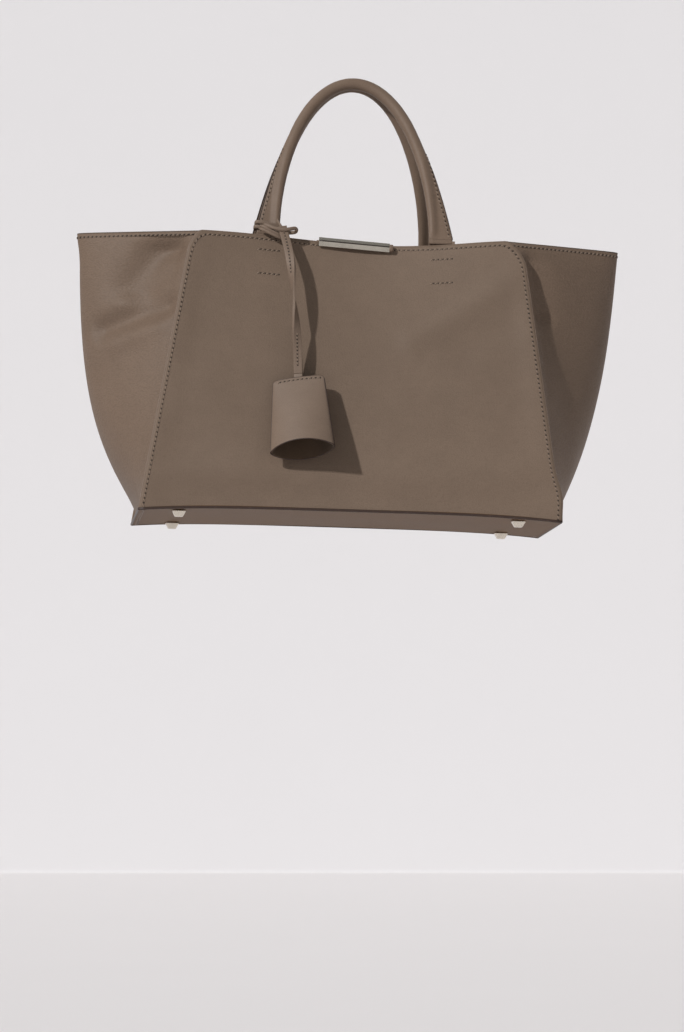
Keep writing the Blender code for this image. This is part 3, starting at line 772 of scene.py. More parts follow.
@dataclass
class Studio:
    """Pale plain floor and wall, sunlight from the upper left, and the camera of the picture."""

    position: tuple = (-0.3209, -4.0303, -0.3328)
    turns: tuple = (4.539, 4.851, 1.409)
    lens: float = 164.17
    eye_height: float = 0.653
    wall_distance: float = 8.6
    cove: float = 0.008
    near: float = 12.0
    reach: float = 14.0
    wall_colour: tuple = srgb(229, 227, 228)
    floor_colour: tuple = srgb(229, 226, 226)
    ambient: float = 0.30
    sun_from: tuple = (-0.98, -1.0, 0.78)
    sun_angle: float = 2.2
    sun_strength: float = 2.5

    def build(self) -> None:
        """Adds the camera, the backdrop, the sun and the surround."""
        axes = self.axes()
        self._camera(*axes)
        self._backdrop(*axes)
        self._sun()
        self._surround()

    def axes(self) -> tuple[Vector, Vector, Vector]:
        """Right, up and forward directions of the camera, from its yaw, pitch and roll."""
        yaw, pitch, roll = (math.radians(turn) for turn in self.turns)
        ahead = Vector((math.sin(yaw) * math.cos(pitch), math.cos(yaw) * math.cos(pitch),
                        math.sin(pitch)))
        level = Vector((math.cos(yaw), -math.sin(yaw), 0.0))
        above = level.cross(ahead)
        right = level * math.cos(roll) + above * math.sin(roll)
        up = above * math.cos(roll) - level * math.sin(roll)
        return right, up, ahead

    def _camera(self, right: Vector, up: Vector, ahead: Vector) -> None:
        """Camera at its place, with its three directions as the columns of its matrix."""
        data = bpy.data.cameras.new("picture_camera")
        data.lens = self.lens
        data.sensor_width = 36.0
        data.sensor_fit = "AUTO"
        data.clip_end = 200.0
        camera = bpy.data.objects.new("picture_camera", data)
        turn = Matrix((right, up, -ahead)).transposed()
        camera.matrix_world = Matrix.Translation(self.position) @ turn.to_4x4()
        bpy.context.scene.collection.objects.link(camera)
        bpy.context.scene.camera = camera

    def _backdrop(self, right: Vector, up: Vector, ahead: Vector) -> None:
        """Floor, cove and wall, swept along the camera's right direction.

        The bag hangs a little tilted, so the floor is level with the camera and not with the
        bag's base. The cove is a quarter circle between floor and wall.
        """
        quarter = np.linspace(0, math.pi / 2, 9)
        far, low = self.wall_distance, -self.eye_height
        sweep = np.stack([far - self.cove + self.cove * np.sin(quarter),
                          low + self.cove - self.cove * np.cos(quarter)], -1)
        floor = np.array([[-self.near, low], [0.0, low], [far - self.cove, low]])
        wall = np.array([[far, low + self.cove], [far, 2.0], [far, self.reach]])
        across = np.linspace(-self.reach, self.reach, 3)
        for name, line, colour in (("studio_floor", np.concatenate([floor, sweep[1:5]]),
                                    self.floor_colour),
                                   ("studio_wall", np.concatenate([sweep[4:-1], wall]),
                                    self.wall_colour)):
            base = np.array(self.position) + line[:, :1] * np.array(ahead)
            base = base + line[:, 1:] * np.array(up)
            points = base[:, None] + across[None, :, None] * np.array(right)
            sheet = add_sheet(name, points, StageWhite(name + "_paint", colour), body="",
                              flip=True)

    def _sun(self) -> None:
        """Sunlight with slightly soft shadows."""
        data = bpy.data.lights.new("sun", "SUN")
        data.energy = self.sun_strength
        data.angle = math.radians(self.sun_angle)
        lamp = bpy.data.objects.new("sun", data)
        place = Vector(self.sun_from)
        lamp.matrix_world = (Matrix.Translation(place)
                             @ (-place).to_track_quat("-Z", "Y").to_matrix().to_4x4())
        bpy.context.scene.collection.objects.link(lamp)

    def _surround(self) -> None:
        """Even pale sky light."""
        scene = bpy.context.scene
        scene.view_settings.view_transform = "Standard"
        world = bpy.data.worlds.new("studio_surround")
        world.use_nodes = True
        background = world.node_tree.nodes["Background"]
        background.inputs["Color"].default_value = (1.0, 1.0, 1.0, 1.0)
        background.inputs["Strength"].default_value = self.ambient
        scene.world = world


@dataclass
class BagShape:
    """The bag's outer surfaces as formulas of shares, in metres."""

    half_base: float = 0.1795
    half_rim: float = 0.1435
    rim_pull: tuple = (0.0035, 0.0)
    half_wings: tuple = (0.236, 0.234)
    base_y: float = 0.0825
    rim_y: float = 0.058
    low: float = 0.006
    high: float = 0.246
    sag: float = 0.006
    sag_skew: float = 0.9
    pinch: float = 0.014
    belly: float = 0.003
    ridge: float = 0.0028
    ridge_reach: float = 0.10
    flare: float = 0.0033
    flare_at: float = 0.09
    flare_reach: float = 0.06
    folds: tuple = (
        (-0.92, 0.12, 0.92, 0.15, 0.017, 0.0024), (0.95, 0.87, 0.32, 0.64, 0.013, 0.0017),
        (0.92, 0.72, 0.60, 0.60, 0.016, -0.0008), (-0.80, 0.40, -0.55, 0.20, 0.030, 0.0020))
    ripple: float = 0.0004
    base_arch: float = 0.004
    foot_share: float = 0.8050
    corner_ease: tuple = (0.0075, 0.0125)
    ease_shares: tuple = (0.075, 0.095)
    wing_shares: tuple = ((0.04, 0.75, 4.0), (0.0, 0.68, 3.1))
    tip_rise: float = 0.001
    fold_round: tuple = (0.9, 0.18)
    seam: float = 0.003
    ply: float = 0.0016
    gap: float = 0.0003

    def half_width(self, t: Array, x: Array) -> Array:
        """Half width at height share t.

        It is straight from base to rim, eased in at the top corner and flared at the right foot.
        """
        ease, share, pull = (np.where(x < 0, *pair) for pair in
                             (self.corner_ease, self.ease_shares, self.rim_pull))
        curl = np.clip((t - 1 + share) / share, 0, 1) ** 2
        off = (t - self.flare_at) / self.flare_reach
        flare = np.where(x < 0, 0.0, self.flare) * np.exp(-(off**2))
        return mix(self.half_base, self.half_rim - pull, t) - ease * curl + flare

    def base_lift(self, x: Array) -> Array:
        """Arch of the base between its feet: a (f^4 - (x / half)^4)."""
        return self.base_arch * (self.foot_share**4 - (x / self.half_base) ** 4)

    def _hollow(self, x: Array) -> Array:
        """Bell-shaped share (1 - (x / half rim)^2)^2 that is 1 at the middle of the rim."""
        return np.clip(1 - (x / self.half_rim) ** 2, 0, 1) ** 2

    def rim_sag(self, x: Array) -> Array:
        """Sag of the rim between its corners, deeper to the right."""
        return self.sag * self._hollow(x) * (1 + self.sag_skew * x / self.half_rim)

    def wall_z(self, x: Array, t: Array) -> Array:
        """Height of the wall at x and height share t."""
        return mix(self.low + self.base_lift(x), self.high - self.rim_sag(x), t)

    def wall_y(self, x: Array, t: Array) -> Array:
        """Depth of the wall at x and height share t: pinched at the rim and bellied halfway."""
        swell = np.clip(1 - (x / self.half_width(t, x)) ** 2, 0, 1)
        return (mix(self.base_y, self.rim_y, t) - self.pinch * self._hollow(x) * t**2
                + self.belly * np.sin(math.pi * np.clip(t, 0, 1)) * swell)

    def skin_y(self, side: Wall, x: Array, t: Array) -> Array:
        """Depth of the wall's leather: it rises to its seams, folds softly and ripples.

        Args:
            side: Front or back.
            x: Distance from the middle.
            t: Height share.

        Returns:
            Depth.
        """
        s = x / self.half_width(t, x)
        rise = np.sin(math.pi * np.clip(t, 0, 1))
        inner = np.clip(1 - np.abs(s), 0, 1) / self.ridge_reach
        calm = np.clip(1 - s**4, 0, 1) * rise
        wave = (np.sin(7.1 * s + 3.3 * t + side.value) * np.cos(4.3 * t - 1.7 * s)
                + 0.6 * np.sin(11.3 * t + 5.1 * s))
        fold = creases(self.folds, s, t, self.half_base, self.high - self.low)
        return (self.wall_y(x, t) + self.ridge * np.sqrt(rise) * np.exp(-inner * inner)
                + (self.ripple * wave + fold) * smooth(calm * 3))

    def wall(self, side: Wall, s: Array, t: Array, inset: float = 0.0) -> Array:
        """Point of a broad wall.

        Args:
            side: Front or back.
            s: Share across, from -1 at the left seam to 1 at the right one.
            t: Height share.
            inset: Depth inwards of the even wall; 0 is the leather's own face.

        Returns:
            Points.
        """
        x = s * self.half_width(t, s)
        y = self.wall_y(x, t) - inset if inset else self.skin_y(side, x, t)
        return np.stack([x, side.value * y, self.wall_z(x, t)], -1)

    def at_height(self, x: Array, z: Array) -> Array:
        """Height share of the wall at x that has height z."""
        foot = self.low + self.base_lift(x)
        return (z - foot) / (self.high - self.rim_sag(x) - foot)

    def on_wall(self, side: Wall, x: Array, z: Array, proud: float = 0.0) -> Array:
        """Point of a broad wall at x and z, moved outwards by a height along its normal."""
        x, z = np.broadcast_arrays(np.asarray(x, float), np.asarray(z, float))
        t = self.at_height(x, z)
        step = 0.0005
        y = self.skin_y(side, x, t)
        slope_z = (self.skin_y(side, x, self.at_height(x, z + step)) - y) / step
        slope_x = (self.skin_y(side, x + step, self.at_height(x + step, z)) - y) / step
        out = unit(np.stack([-slope_x, np.ones_like(y), -slope_z], -1))
        place = np.stack([x, y, z], -1) + out * proud
        return place * np.array([1.0, side.value, 1.0])

    def wall_out(self, side: Wall, points: Array) -> Array:
        """Outward direction of a broad wall at points on it."""
        raised = self.on_wall(side, points[..., 0], points[..., 2], 0.001)
        return unit(raised - self.on_wall(side, points[..., 0], points[..., 2]))

    def wing_tip(self, side: Wing, t: Array) -> Array:
        """Reach of the wing's fold along x at height share t."""
        start, swell, power = self.wing_shares[0 if side is Wing.LEFT else 1]
        rise = t if start == 0 else t**2 / (t + start) * (1 + start)
        share = swell * (1 - (1 - rise) ** power) + (1 - swell) * rise
        half_wing = self.half_wings[0 if side is Wing.LEFT else 1]
        return mix(self.half_base - self.seam, half_wing, share)

    def wing(self, side: Wing, a: Array, t: Array) -> Array:
        """Point of a gusset's outer face.

        The fold runs x = seam + (tip - seam)(1 - f), with
        f = (sqrt(a^2 + r^2) - r) / (sqrt(1 + r^2) - r).

        Args:
            side: Left or right.
            a: Share across, from -1 at the front seam to 1 at the back one.
            t: Height share.

        Returns:
            Points.
        """
        a, t = np.broadcast_arrays(np.asarray(a, float), np.asarray(t, float))
        sign = float(side.value)
        seam_x = self.half_width(t, np.full_like(t, sign)) - self.seam
        seam_y = self.skin_y(Wall.FRONT, sign * seam_x, t) - self.ply - self.gap
        r = mix(*self.fold_round, t)
        fold = (np.sqrt(a**2 + r**2) - r) / (np.sqrt(1 + r**2) - r)
        x = seam_x + (self.wing_tip(side, t) - seam_x) * (1 - fold)
        foot = self.low + self.base_lift(self.half_base)
        z = mix(foot, self.high + self.tip_rise * (1 - np.abs(a)), t)
        return np.stack([sign * x, a * seam_y, z], -1)

    def wing_out(self, side: Wing, a: Array, t: Array) -> Array:
        """Outward direction of a gusset's outer face."""
        step = 0.002
        low_a, high_a = np.maximum(a - step, -1), np.minimum(a + step, 1)
        low_t, high_t = np.maximum(t - step, 0), np.minimum(t + step, 1)
        across = self.wing(side, high_a, t) - self.wing(side, low_a, t)
        rise = self.wing(side, a, high_t) - self.wing(side, a, low_t)
        return unit(np.cross(across, rise)) * float(side.value)


def creases(lines: Sequence[Sequence[float]], a: Array, t: Array, wide: float,
            tall: float) -> Array:
    """Soft creases: a sum of depth exp(-(d / reach)^2), d the distance to a straight segment.

    Args:
        lines: Segments, each with its two ends in shares, its reach and its depth in metres.
        a: Share across.
        t: Height share.
        wide: Metres for a share of 1 across.
        tall: Metres for a height share of 1.

    Returns:
        Height outwards.
    """
    total = np.zeros(np.broadcast(a, t).shape)
    for a0, t0, a1, t1, reach, depth in lines:
        run_a, run_t = (a1 - a0) * wide, (t1 - t0) * tall
        off_a, off_t = (a - a0) * wide, (t - t0) * tall
        share = np.clip((off_a * run_a + off_t * run_t) / (run_a**2 + run_t**2), 0, 1)
        gap = np.hypot(off_a - share * run_a, off_t - share * run_t)
        total = total + depth * np.exp(-((gap / reach) ** 2))
    return total


@dataclass(frozen=True)
class Inside:
    """The leather facing band at the rim and the suede lining under it."""

    facing_height: float = 0.045
    facing_ply: float = 0.0012
    lining_ply: float = 0.0008
    gap_share: float = 0.0015

    def bands(self, tall: float) -> tuple:
        """Word, low and high height share, ply, finish and rows of each band.

        Args:
            tall: Height of the wall.

        Returns:
            The facing and the lining.
        """
        foot = 1 - self.facing_height / tall
        return (("facing", foot, 1.0, self.facing_ply, SKIN, 24),
                ("lining", 0.0, foot - self.gap_share, self.lining_ply, SUEDE, 60))


@dataclass
class Walls:
    """The two broad walls: leather, facing, lining, painted edges and stitch rows."""

    shape: BagShape = field(default_factory=BagShape)
    lined: Inside = field(default_factory=Inside)
    columns: int = 150
    rows: int = 110
    inner_reach: float = 0.972
    inner_inset: float = 0.0038
    corner_steps: int = 4
    edge_inset: float = 0.0008
    edge_bead: tuple = (0.00055, 0.00085)
    ply_edges: tuple = (("stiffener", 0.0028, 0.0009), ("facing", 0.0044, 0.0007))
    ply_edge_reach: float = 0.965
    ply_edge_bead: float = 0.0004
    edge_drop: float = 0.0034

    def build(self) -> None:
        """Builds both walls."""
        for side in Wall:
            self.panel(side)
            self.inside(side)
            self.edges(side)
            self.stitches(side)
            LOG.info("wall: %s", side.word)

    def panel(self, side: Wall) -> None:
        """The outer leather."""
        s, t = np.meshgrid(np.linspace(-1, 1, self.columns), np.linspace(0, 1, self.rows))
        points = self.shape.wall(side, s, t)
        name = side.word
        panel = add_sheet(f"{name}_wall_leather", points, SKIN, self.shape.ply,
                          flip=side is Wall.BACK)
        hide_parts(f"{name}_panel")

    def inside(self, side: Wall) -> None:
        """The leather facing band at the rim and the suede lining under it."""
        name = side.word
        across = np.linspace(-self.inner_reach, self.inner_reach, 100)
        tall = self.shape.high - self.shape.low
        for part, low, high, ply, finish, rows in self.lined.bands(tall):
            s, t = np.meshgrid(across, np.linspace(low, high, rows))
            points = self.shape.wall(side, s, t, self.inner_inset)
            sheet = add_sheet(f"{name}_wall_{part}", points, finish, ply, flip=side is Wall.BACK)
            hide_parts(f"{name}_{part}")

    def outline(self, side: Wall, inset: float, depth: float, count: int = 300) -> Array:
        """Line round the panel, up one seam, along the rim and down the other seam.

        In the flat (x, z) plane it is the panel's edge moved in by the inset, with its two top
        corners rounded by a running mean, and then laid back on the wall.

        Args:
            side: Front or back.
            inset: Distance inside the panel's edge.
            depth: Depth inwards of the outer face.
            count: Points on it.

        Returns:
            The line.
        """
        up, across = np.linspace(0.0, 1.0, 160), np.linspace(-1.0, 1.0, 200)[1:-1]
        s = np.concatenate([np.full_like(up, -1.0), across, np.full_like(up, 1.0)])
        t = np.concatenate([up, np.ones_like(across), up[::-1]])
        edge = self.shape.wall(side, s, t)
        if not inset:
            edge[:, 1] -= side.value * depth
            return resample(edge, np.linspace(0, lengths(edge)[-1], count))
        flat = edge * np.array([1.0, 0.0, 1.0])
        flat = resample(flat, np.linspace(0, lengths(flat)[-1], count))
        steps = self.corner_steps
        padded = np.concatenate([np.repeat(flat[:1], steps, 0), flat,
                                 np.repeat(flat[-1:], steps, 0)])
        flat = np.mean([padded[k:k + count] for k in range(2 * steps + 1)], 0)
        inwards = unit(np.cross(directions(flat), np.array([0.0, -1.0, 0.0])))
        flat = flat + inwards * inset
        return self.shape.on_wall(side, flat[:, 0], flat[:, 2])

    def edges(self, side: Wall) -> None:
        """Painted beads on the cut edges of the panel's seams and rim."""
        name = side.word
        line = self.outline(side, 0.0, self.edge_inset)
        out = np.array([0.0, side.value, 0.0])
        add_bead(f"{name}_edge_paint", line, out, self.edge_bead, PALE_PAINT)
        s = np.linspace(-self.ply_edge_reach, self.ply_edge_reach, 140)
        for part, depth, high in self.ply_edges:
            line = self.shape.wall(side, s, np.ones_like(s), depth)
            add_bead(f"{name}_{part}_edge_paint", line, out, (self.ply_edge_bead, high), PAINT)

    def stitches(self, side: Wall) -> None:
        """One row up each seam and along the rim."""
        name = side.word
        row = Stitching()
        line = self.outline(side, self.edge_drop, 0.0, 400)
        row.row(line, self.shape.wall_out(side, line))
        row.build(f"{name}_seam", "bag")


@dataclass
class Wings:
    """The two side gussets with their facing, lining, edges and seam stitches."""

    shape: BagShape = field(default_factory=BagShape)
    lined: Inside = field(default_factory=Inside)
    columns: int = 150
    rows: int = 110
    dents: dict = field(default_factory=lambda: {
        Wing.LEFT: ((-0.87, 1.02, -0.66, 0.80, 0.016, -0.0125),
                    (-0.80, 0.88, -0.56, 0.75, 0.009, 0.0032),
                    (-0.92, 0.735, -0.38, 0.655, 0.010, -0.0072),
                    (-0.90, 0.66, -0.52, 0.60, 0.009, 0.0022),
                    (-0.60, 0.57, -0.36, 0.47, 0.016, -0.0020),
                    (0.20, 0.90, 0.50, 0.50, 0.018, -0.0040)),
        Wing.RIGHT: ((-0.92, 0.93, -0.85, 0.76, 0.011, -0.0062),
                     (-0.80, 0.66, -0.62, 0.42, 0.030, -0.0052),
                     (-0.50, 0.40, -0.45, 0.20, 0.018, 0.0012),
                     (0.60, 0.85, 0.40, 0.45, 0.018, -0.0035))})
    across: float = 0.09
    fades: tuple = (0.12, 0.1, 0.06)
    inner_reach: float = 0.93
    inner_inset: float = 0.0019
    edge_reach: float = 0.985
    edge_inset: float = 0.0012
    edge_bead: tuple = (0.00055, 0.0014)
    stitch_drop: float = 0.0034 / 0.24

    def build(self) -> None:
        """Builds both gussets."""
        for side in Wing:
            self.leather(side)
            self.inside(side)
            self.edges(side)
            LOG.info("wing: %s", side.word)

    def relief(self, side: Wing, a: Array, t: Array) -> Array:
        """Height outwards of the soft creases, which die away at the seams, base and rim."""
        tall = self.shape.high - self.shape.low
        total = creases(self.dents[side], a, t, self.across, tall)
        seam, base, rim = self.fades
        calm = (np.clip((1 - np.abs(a)) / seam, 0, 1) * np.clip(t / base, 0, 1)
                * np.clip((1 - t) / rim, 0, 1))
        return total * smooth(calm)

    def leather(self, side: Wing) -> None:
        """The outer leather."""
        a, t = np.meshgrid(np.linspace(-1, 1, self.columns), np.linspace(0, 1, self.rows))
        points = self.shape.wing(side, a, t)
        points = points + self.shape.wing_out(side, a, t) * self.relief(side, a, t)[..., None]
        name = side.word
        # The darker wing leather is painted shade over the same leather as the walls.
        sheet = add_sheet(f"{name}_wing_leather", points, WING_SKIN_SHADED, self.shape.ply,
                          flip=side is Wing.LEFT)
        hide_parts(f"{name}_gusset")

    def inside(self, side: Wing) -> None:
        """The facing band and the lining, moved in along the gusset's own normal."""
        name = side.word
        across = np.linspace(-self.inner_reach, self.inner_reach, 100)
        tall = self.shape.high - self.shape.low
        for part, low, high, ply, finish, rows in self.lined.bands(tall):
            a, t = np.meshgrid(across, np.linspace(low, high, rows))
            proud = self.relief(side, a, t) - self.inner_inset
            points = self.shape.wing(side, a, t)
            points = points + self.shape.wing_out(side, a, t) * proud[..., None]
            sheet = add_sheet(f"{name}_wing_{part}", points, finish, ply, flip=side is Wing.LEFT)
            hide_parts(f"{name}_{part}")

    def edges(self, side: Wing) -> None:
        """Painted bead along the gusset's top edge, and its row of stitches."""
        name = side.word
        a = np.linspace(-self.edge_reach, self.edge_reach, 160)
        t = np.ones_like(a)
        out = self.shape.wing_out(side, a, t)
        line = self.shape.wing(side, a, t) - out * self.edge_inset
        add_bead(f"{name}_wing_edge_paint", line, out, self.edge_bead, PAINT)
        t = t - self.stitch_drop
        row = Stitching()
        row.row(self.shape.wing(side, a, t), self.shape.wing_out(side, a, t))
        row.build(f"{name}_wing", "bag")


@dataclass
class Handles:
    """The two arched handles: rolled leather over a rope, flattened into stitched tabs."""

    shape: BagShape = field(default_factory=BagShape)
    half_span: float = 0.0674
    rise: float = 0.1455
    radius: float = 0.0052
    root_radius: float = 0.0034
    swell_height: float = 0.110
    tab_ply: float = 0.0024
    tab_spread: float = 0.0137
    tab_height: float = 0.095
    tube_end: float = 0.010
    curve_power: float = 1.5
    lean: float = math.radians(16.860)
    root_depth: float = 0.0045
    foot_y: float = 0.0479
    foot_z: float = 0.24667
    points: int = 260
    sides: int = 56
    overrun: float = 0.005
    wrinkle: float = 0.010
    flap_run: float = 1.7
    flap_start: float = 0.6
    foot_squeeze: float = 0.42
    root_steps: tuple = (-0.0004, 0.0, 0.0015, 0.0030)
    flap_pitch: float = 0.0042
    flap_span: tuple = (0.0004, 0.088)
    flap_bead: tuple = (0.0011, 0.0005)
    flap_bead_full: float = 0.003
    stitch_top: float = 0.078
    stitch_inset: float = 0.0027
    stitch_inset_full: float = 0.006
    anchor_pitch: float = 0.0038
    anchor_x: float = 0.0742
    anchor_half: float = 0.0098
    anchor_drops: tuple = (0.0125, 0.0335)

    def build(self) -> None:
        """Builds both handles."""
        for side in Wall:
            self.tube(side)
            self.roots(side)
            self.tabs(side)
            self.anchors(side)
            LOG.info("handle: %s", side.word)

    def place(self, side: Wall, turn: Array, across: Array, proud: Array) -> Array:
        """Point near the arch: (span cos, rise sin) leaned outwards from the rim.

        Args:
            side: Front or back.
            turn: Angle along the arch, 0 at the right foot and pi at the left one.
            across: Distance outwards from the arch's line, in its own plane.
            proud: Distance out of its plane, away from the bag.

        Returns:
            Points.
        """
        x, h = self.half_span * np.cos(turn), self.rise * np.sin(turn)
        normal = unit(np.stack([self.rise * np.cos(turn), self.half_span * np.sin(turn)], -1))
        x, h = x + normal[..., 0] * across, h + normal[..., 1] * across
        deep = self.foot_y - h * math.sin(self.lean) + proud * math.cos(self.lean)
        high = self.foot_z + h * math.cos(self.lean) + proud * math.sin(self.lean)
        x, deep, high = np.broadcast_arrays(x, deep, high)
        return np.stack([x, side.value * deep, high], -1)

    def tube_radius(self, turn: Array) -> Array:
        """Radius of the rolled tube, thin at its feet."""
        height = self.rise * np.sin(turn)
        return mix(self.root_radius, self.radius, smooth(height / self.swell_height))

    def tab_reach(self, height: Array) -> Array:
        """Width of the flat flap outside the tube at a height over the rim."""
        share = np.clip(1 - height / self.tab_height, 0, 1)
        return self.tab_spread * share**self.curve_power

    def section(self, turn: Array, k: Array) -> tuple[Array, Array]:
        """Section of the leather: a round tube whose outer side opens into a flat flap.

        With c = cos k, the inner half is the circle (r c, r sin k). The outer half reaches r + w,
        and its height falls from r to half the flap's ply over 1.7 r. Near the rim both flatten.

        Args:
            turn: Angles along the arch, as a column.
            k: Angles round the section.

        Returns:
            Distances outwards in the arch's plane and out of it.
        """
        height = self.rise * np.sin(turn)
        radius, reach = self.tube_radius(turn), self.tab_reach(height)
        c, s = np.cos(k), np.sin(k)
        across = np.where(c < 0, radius * c, (radius + reach) * c)
        thin = self.tab_ply / 2
        flat = (thin * np.sqrt(1 - np.clip(c, 0, 1) ** 8)
                + (radius - thin) * (1 - smooth(across / (self.flap_run * radius))))
        share = np.where(c < 0, 0.0, smooth(reach / (self.flap_start * radius)))
        proud = mix(radius * np.abs(s), flat, share)
        squeeze = mix(self.foot_squeeze, 1.0, smooth(height / self.tube_end))
        ridge = np.maximum(thin * np.minimum(1, 3 * np.abs(s)), proud * squeeze)
        proud = mix(ridge, proud, smooth(height / self.tube_end))
        return across, np.sign(s) * proud

    def tube(self, side: Wall) -> None:
        """The leather of one handle, from foot to foot."""
        turn = self.turns(-self.overrun, self.points)[:, None]
        k = around(self.sides)
        across, proud = self.section(turn, k)
        wrinkle = 1 + self.wrinkle * np.sin(turn * 61 + 2 * k) * np.cos(turn * 23)
        rings = self.place(side, turn, across * wrinkle, proud * wrinkle)
        name = side.word
        tube = add_tube(f"{name}_handle_leather", rings, HANDLE_SKIN, f"{name}_handle",
                        flip=side is Wall.FRONT)
        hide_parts(f"{name}_handle")

    def roots(self, side: Wall) -> None:
        """The ends of both legs that run down between the plies of the wall."""
        down = np.array([*self.root_steps, self.root_depth])[:, None]
        k = around(self.sides)
        for word, turn in (("right", 0.0), ("left", math.pi)):
            turn = np.full((1, 1), turn)
            across, proud = self.section(turn, k)
            rings = np.repeat(self.place(side, turn, across, proud), len(down), 0)
            rings[..., 1] += side.value * down * math.sin(self.lean)
            rings[..., 2] -= down * math.cos(self.lean)
            flip = (side is Wall.FRONT) != (word == "left")
            add_tube(f"{side.word}_handle_root_{word}", rings, HANDLE_SKIN, flip=not flip)

    def turns(self, margin: float, count: int) -> Array:
        """Angles along the arch from foot to foot, at even lengths."""
        fine = np.linspace(margin, math.pi - margin, 2000)
        line = np.stack([self.half_span * np.cos(fine), self.rise * np.sin(fine),
                         np.zeros_like(fine)], -1)
        run = lengths(line)
        return np.interp(np.linspace(0, run[-1], count), run, fine)

    def tabs(self, side: Wall) -> None:
        """The painted edge and the stitch row of the flap outside each leg."""
        name = side.word
        row = Stitching(pitch=self.flap_pitch)
        height = np.linspace(*self.flap_span, 120)
        reach = self.tab_reach(height)
        half_wide, half_high = self.flap_bead
        for label, flipped in (("right", False), ("left", True)):
            turn = np.arcsin(height / self.rise)
            turn = math.pi - turn if flipped else turn
            edge_at, _ = self.section(turn[:, None], np.array([0.0]))
            edge_at = edge_at[:, 0]
            flat = np.zeros_like(turn)
            edge = self.place(side, turn, edge_at, flat)
            out = unit(edge - self.place(side, turn, edge_at - 0.002, flat))
            thin = np.clip(reach / self.flap_bead_full, 0.12, 1)
            add_bead(f"{name}_{label}_flap_edge", edge, out,
                     (half_wide * thin, half_high * thin), PAINT, f"{name}_handle")
            keep = height < self.stitch_top
            inset = self.stitch_inset * np.clip(reach / self.stitch_inset_full, 0.35, 1)
            share = np.arccos(np.clip((edge_at - inset) / edge_at, -1, 1))
            at, proud = self.section(turn[:, None], np.array([0.0]) + share[:, None])
            line = self.place(side, turn, at[:, 0], proud[:, 0])[keep]
            above = self.place(side, turn, at[:, 0], proud[:, 0] + 0.001)[keep]
            row.row(line, unit(above - line))
        row.build(f"{name}_handle", f"{name}_handle")

    def anchors(self, side: Wall) -> None:
        """Two short rows of stitches through the wall over each buried tab."""
        row = Stitching(pitch=self.anchor_pitch)
        for centre in (-self.anchor_x, self.anchor_x):
            for drop in self.anchor_drops:
                x = np.linspace(centre - self.anchor_half, centre + self.anchor_half, 12)
                z = self.shape.wall_z(x, np.ones_like(x)) - drop
                line = self.shape.on_wall(side, x, z)
                row.row(line, self.shape.wall_out(side, line))
        row.build(f"{side.word}_anchor", "bag")


@dataclass
class Base:
    """The underside with its dark edge line, and its four metal feet."""

    shape: BagShape = field(default_factory=BagShape)
    foot_x: float = 0.1445
    foot_y: float = 0.0645
    foot_top: float = 0.0115
    foot_tip: float = 0.007
    foot_power: float = 9.0
    drop: float = 0.0003
    ply: float = 0.002
    edge_bead: tuple = (0.0008, 0.0012)
    edge_lift: float = 0.0004
    lining_half: tuple = (0.168, 0.0735)
    lining_top: float = 0.0122
    lining_ply: float = 0.0008
    unevenness: float = 0.0002

    def build(self) -> None:
        """Builds the base leather, its edge line and the feet."""
        x = self.shape.half_base * np.linspace(-1, 1, 90)
        y = np.linspace(-self.shape.base_y, self.shape.base_y, 40)
        x, y = np.meshgrid(x, y)
        lift = self.shape.base_lift(x) + self.unevenness * np.sin(31 * x + 17 * y)
        points = np.stack([x, y, self.shape.low + lift - self.drop], -1)
        sheet = add_sheet("base_leather", points, BASE_SKIN, self.ply, flip=True)
        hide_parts("base_panel")
        self.rim_line()
        self.lining()
        for tag_x in (-1, 1):
            for tag_y in (-1, 1):
                self.foot(tag_x, tag_y)
        LOG.info("base and feet")

    def rim_line(self) -> None:
        """Dark painted bead round the base where the walls meet it."""
        half_x, half_y = self.shape.half_base, self.shape.base_y
        along = np.linspace(-1, 1, 60)[:-1]
        ones = np.ones_like(along)
        x = half_x * np.concatenate([along, ones, -along, -ones])
        y = half_y * np.concatenate([-ones, along, ones, -along])
        z = self.shape.low + self.shape.base_lift(x)
        line = np.stack([x, y, z + self.edge_lift], -1)
        add_bead("base_edge_paint", line, np.array([0.0, 0.0, 1.0]), self.edge_bead, PAINT,
                 closed=True)

    def lining(self) -> None:
        """Suede over the base board inside the bag."""
        half_x, half_y = self.lining_half
        x, y = np.meshgrid(np.linspace(-half_x, half_x, 60), np.linspace(-half_y, half_y, 30))
        wave = self.unevenness * np.sin(40 * x) * np.cos(50 * y)
        z = self.lining_top + self.shape.base_lift(x) + wave
        sheet = add_sheet("base_suede", np.stack([x, y, z], -1), SUEDE, self.lining_ply)
        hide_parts("base_lining")

    def foot(self, tag_x: int, tag_y: int) -> None:
        """One bevelled square foot: rings of a rounded square narrowing to its tip.

        Args:
            tag_x: Side along x.
            tag_y: Side along y.
        """
        name = f"{'front' if tag_y < 0 else 'back'}_{'left' if tag_x < 0 else 'right'}"
        half_top, half_tip = self.foot_top / 2, self.foot_tip / 2
        top = self.shape.low + float(self.shape.base_lift(np.array(self.foot_x))) - 0.0006
        levels = np.array([top, top - 0.0006, top - 0.0012, 0.0006, 0.00015, 0.0])
        halves = np.array([half_top - 0.0004, half_top, half_top - 0.0001, half_tip + 0.0002,
                           half_tip - 0.0001, half_tip - 0.0006])
        k = around(40)
        cos, sin = np.cos(k), np.sin(k)
        power = self.foot_power
        square = (np.abs(cos) ** power + np.abs(sin) ** power) ** (-1 / power)
        x = tag_x * self.foot_x + halves[:, None] * square * cos
        y = tag_y * self.foot_y + halves[:, None] * square * sin
        z = np.broadcast_to(levels[:, None], x.shape)
        foot = add_tube(f"{name}_foot_metal", np.stack([x, y, z], -1), FOOT_PLATE, flip=True)
        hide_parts(f"foot_{name}")


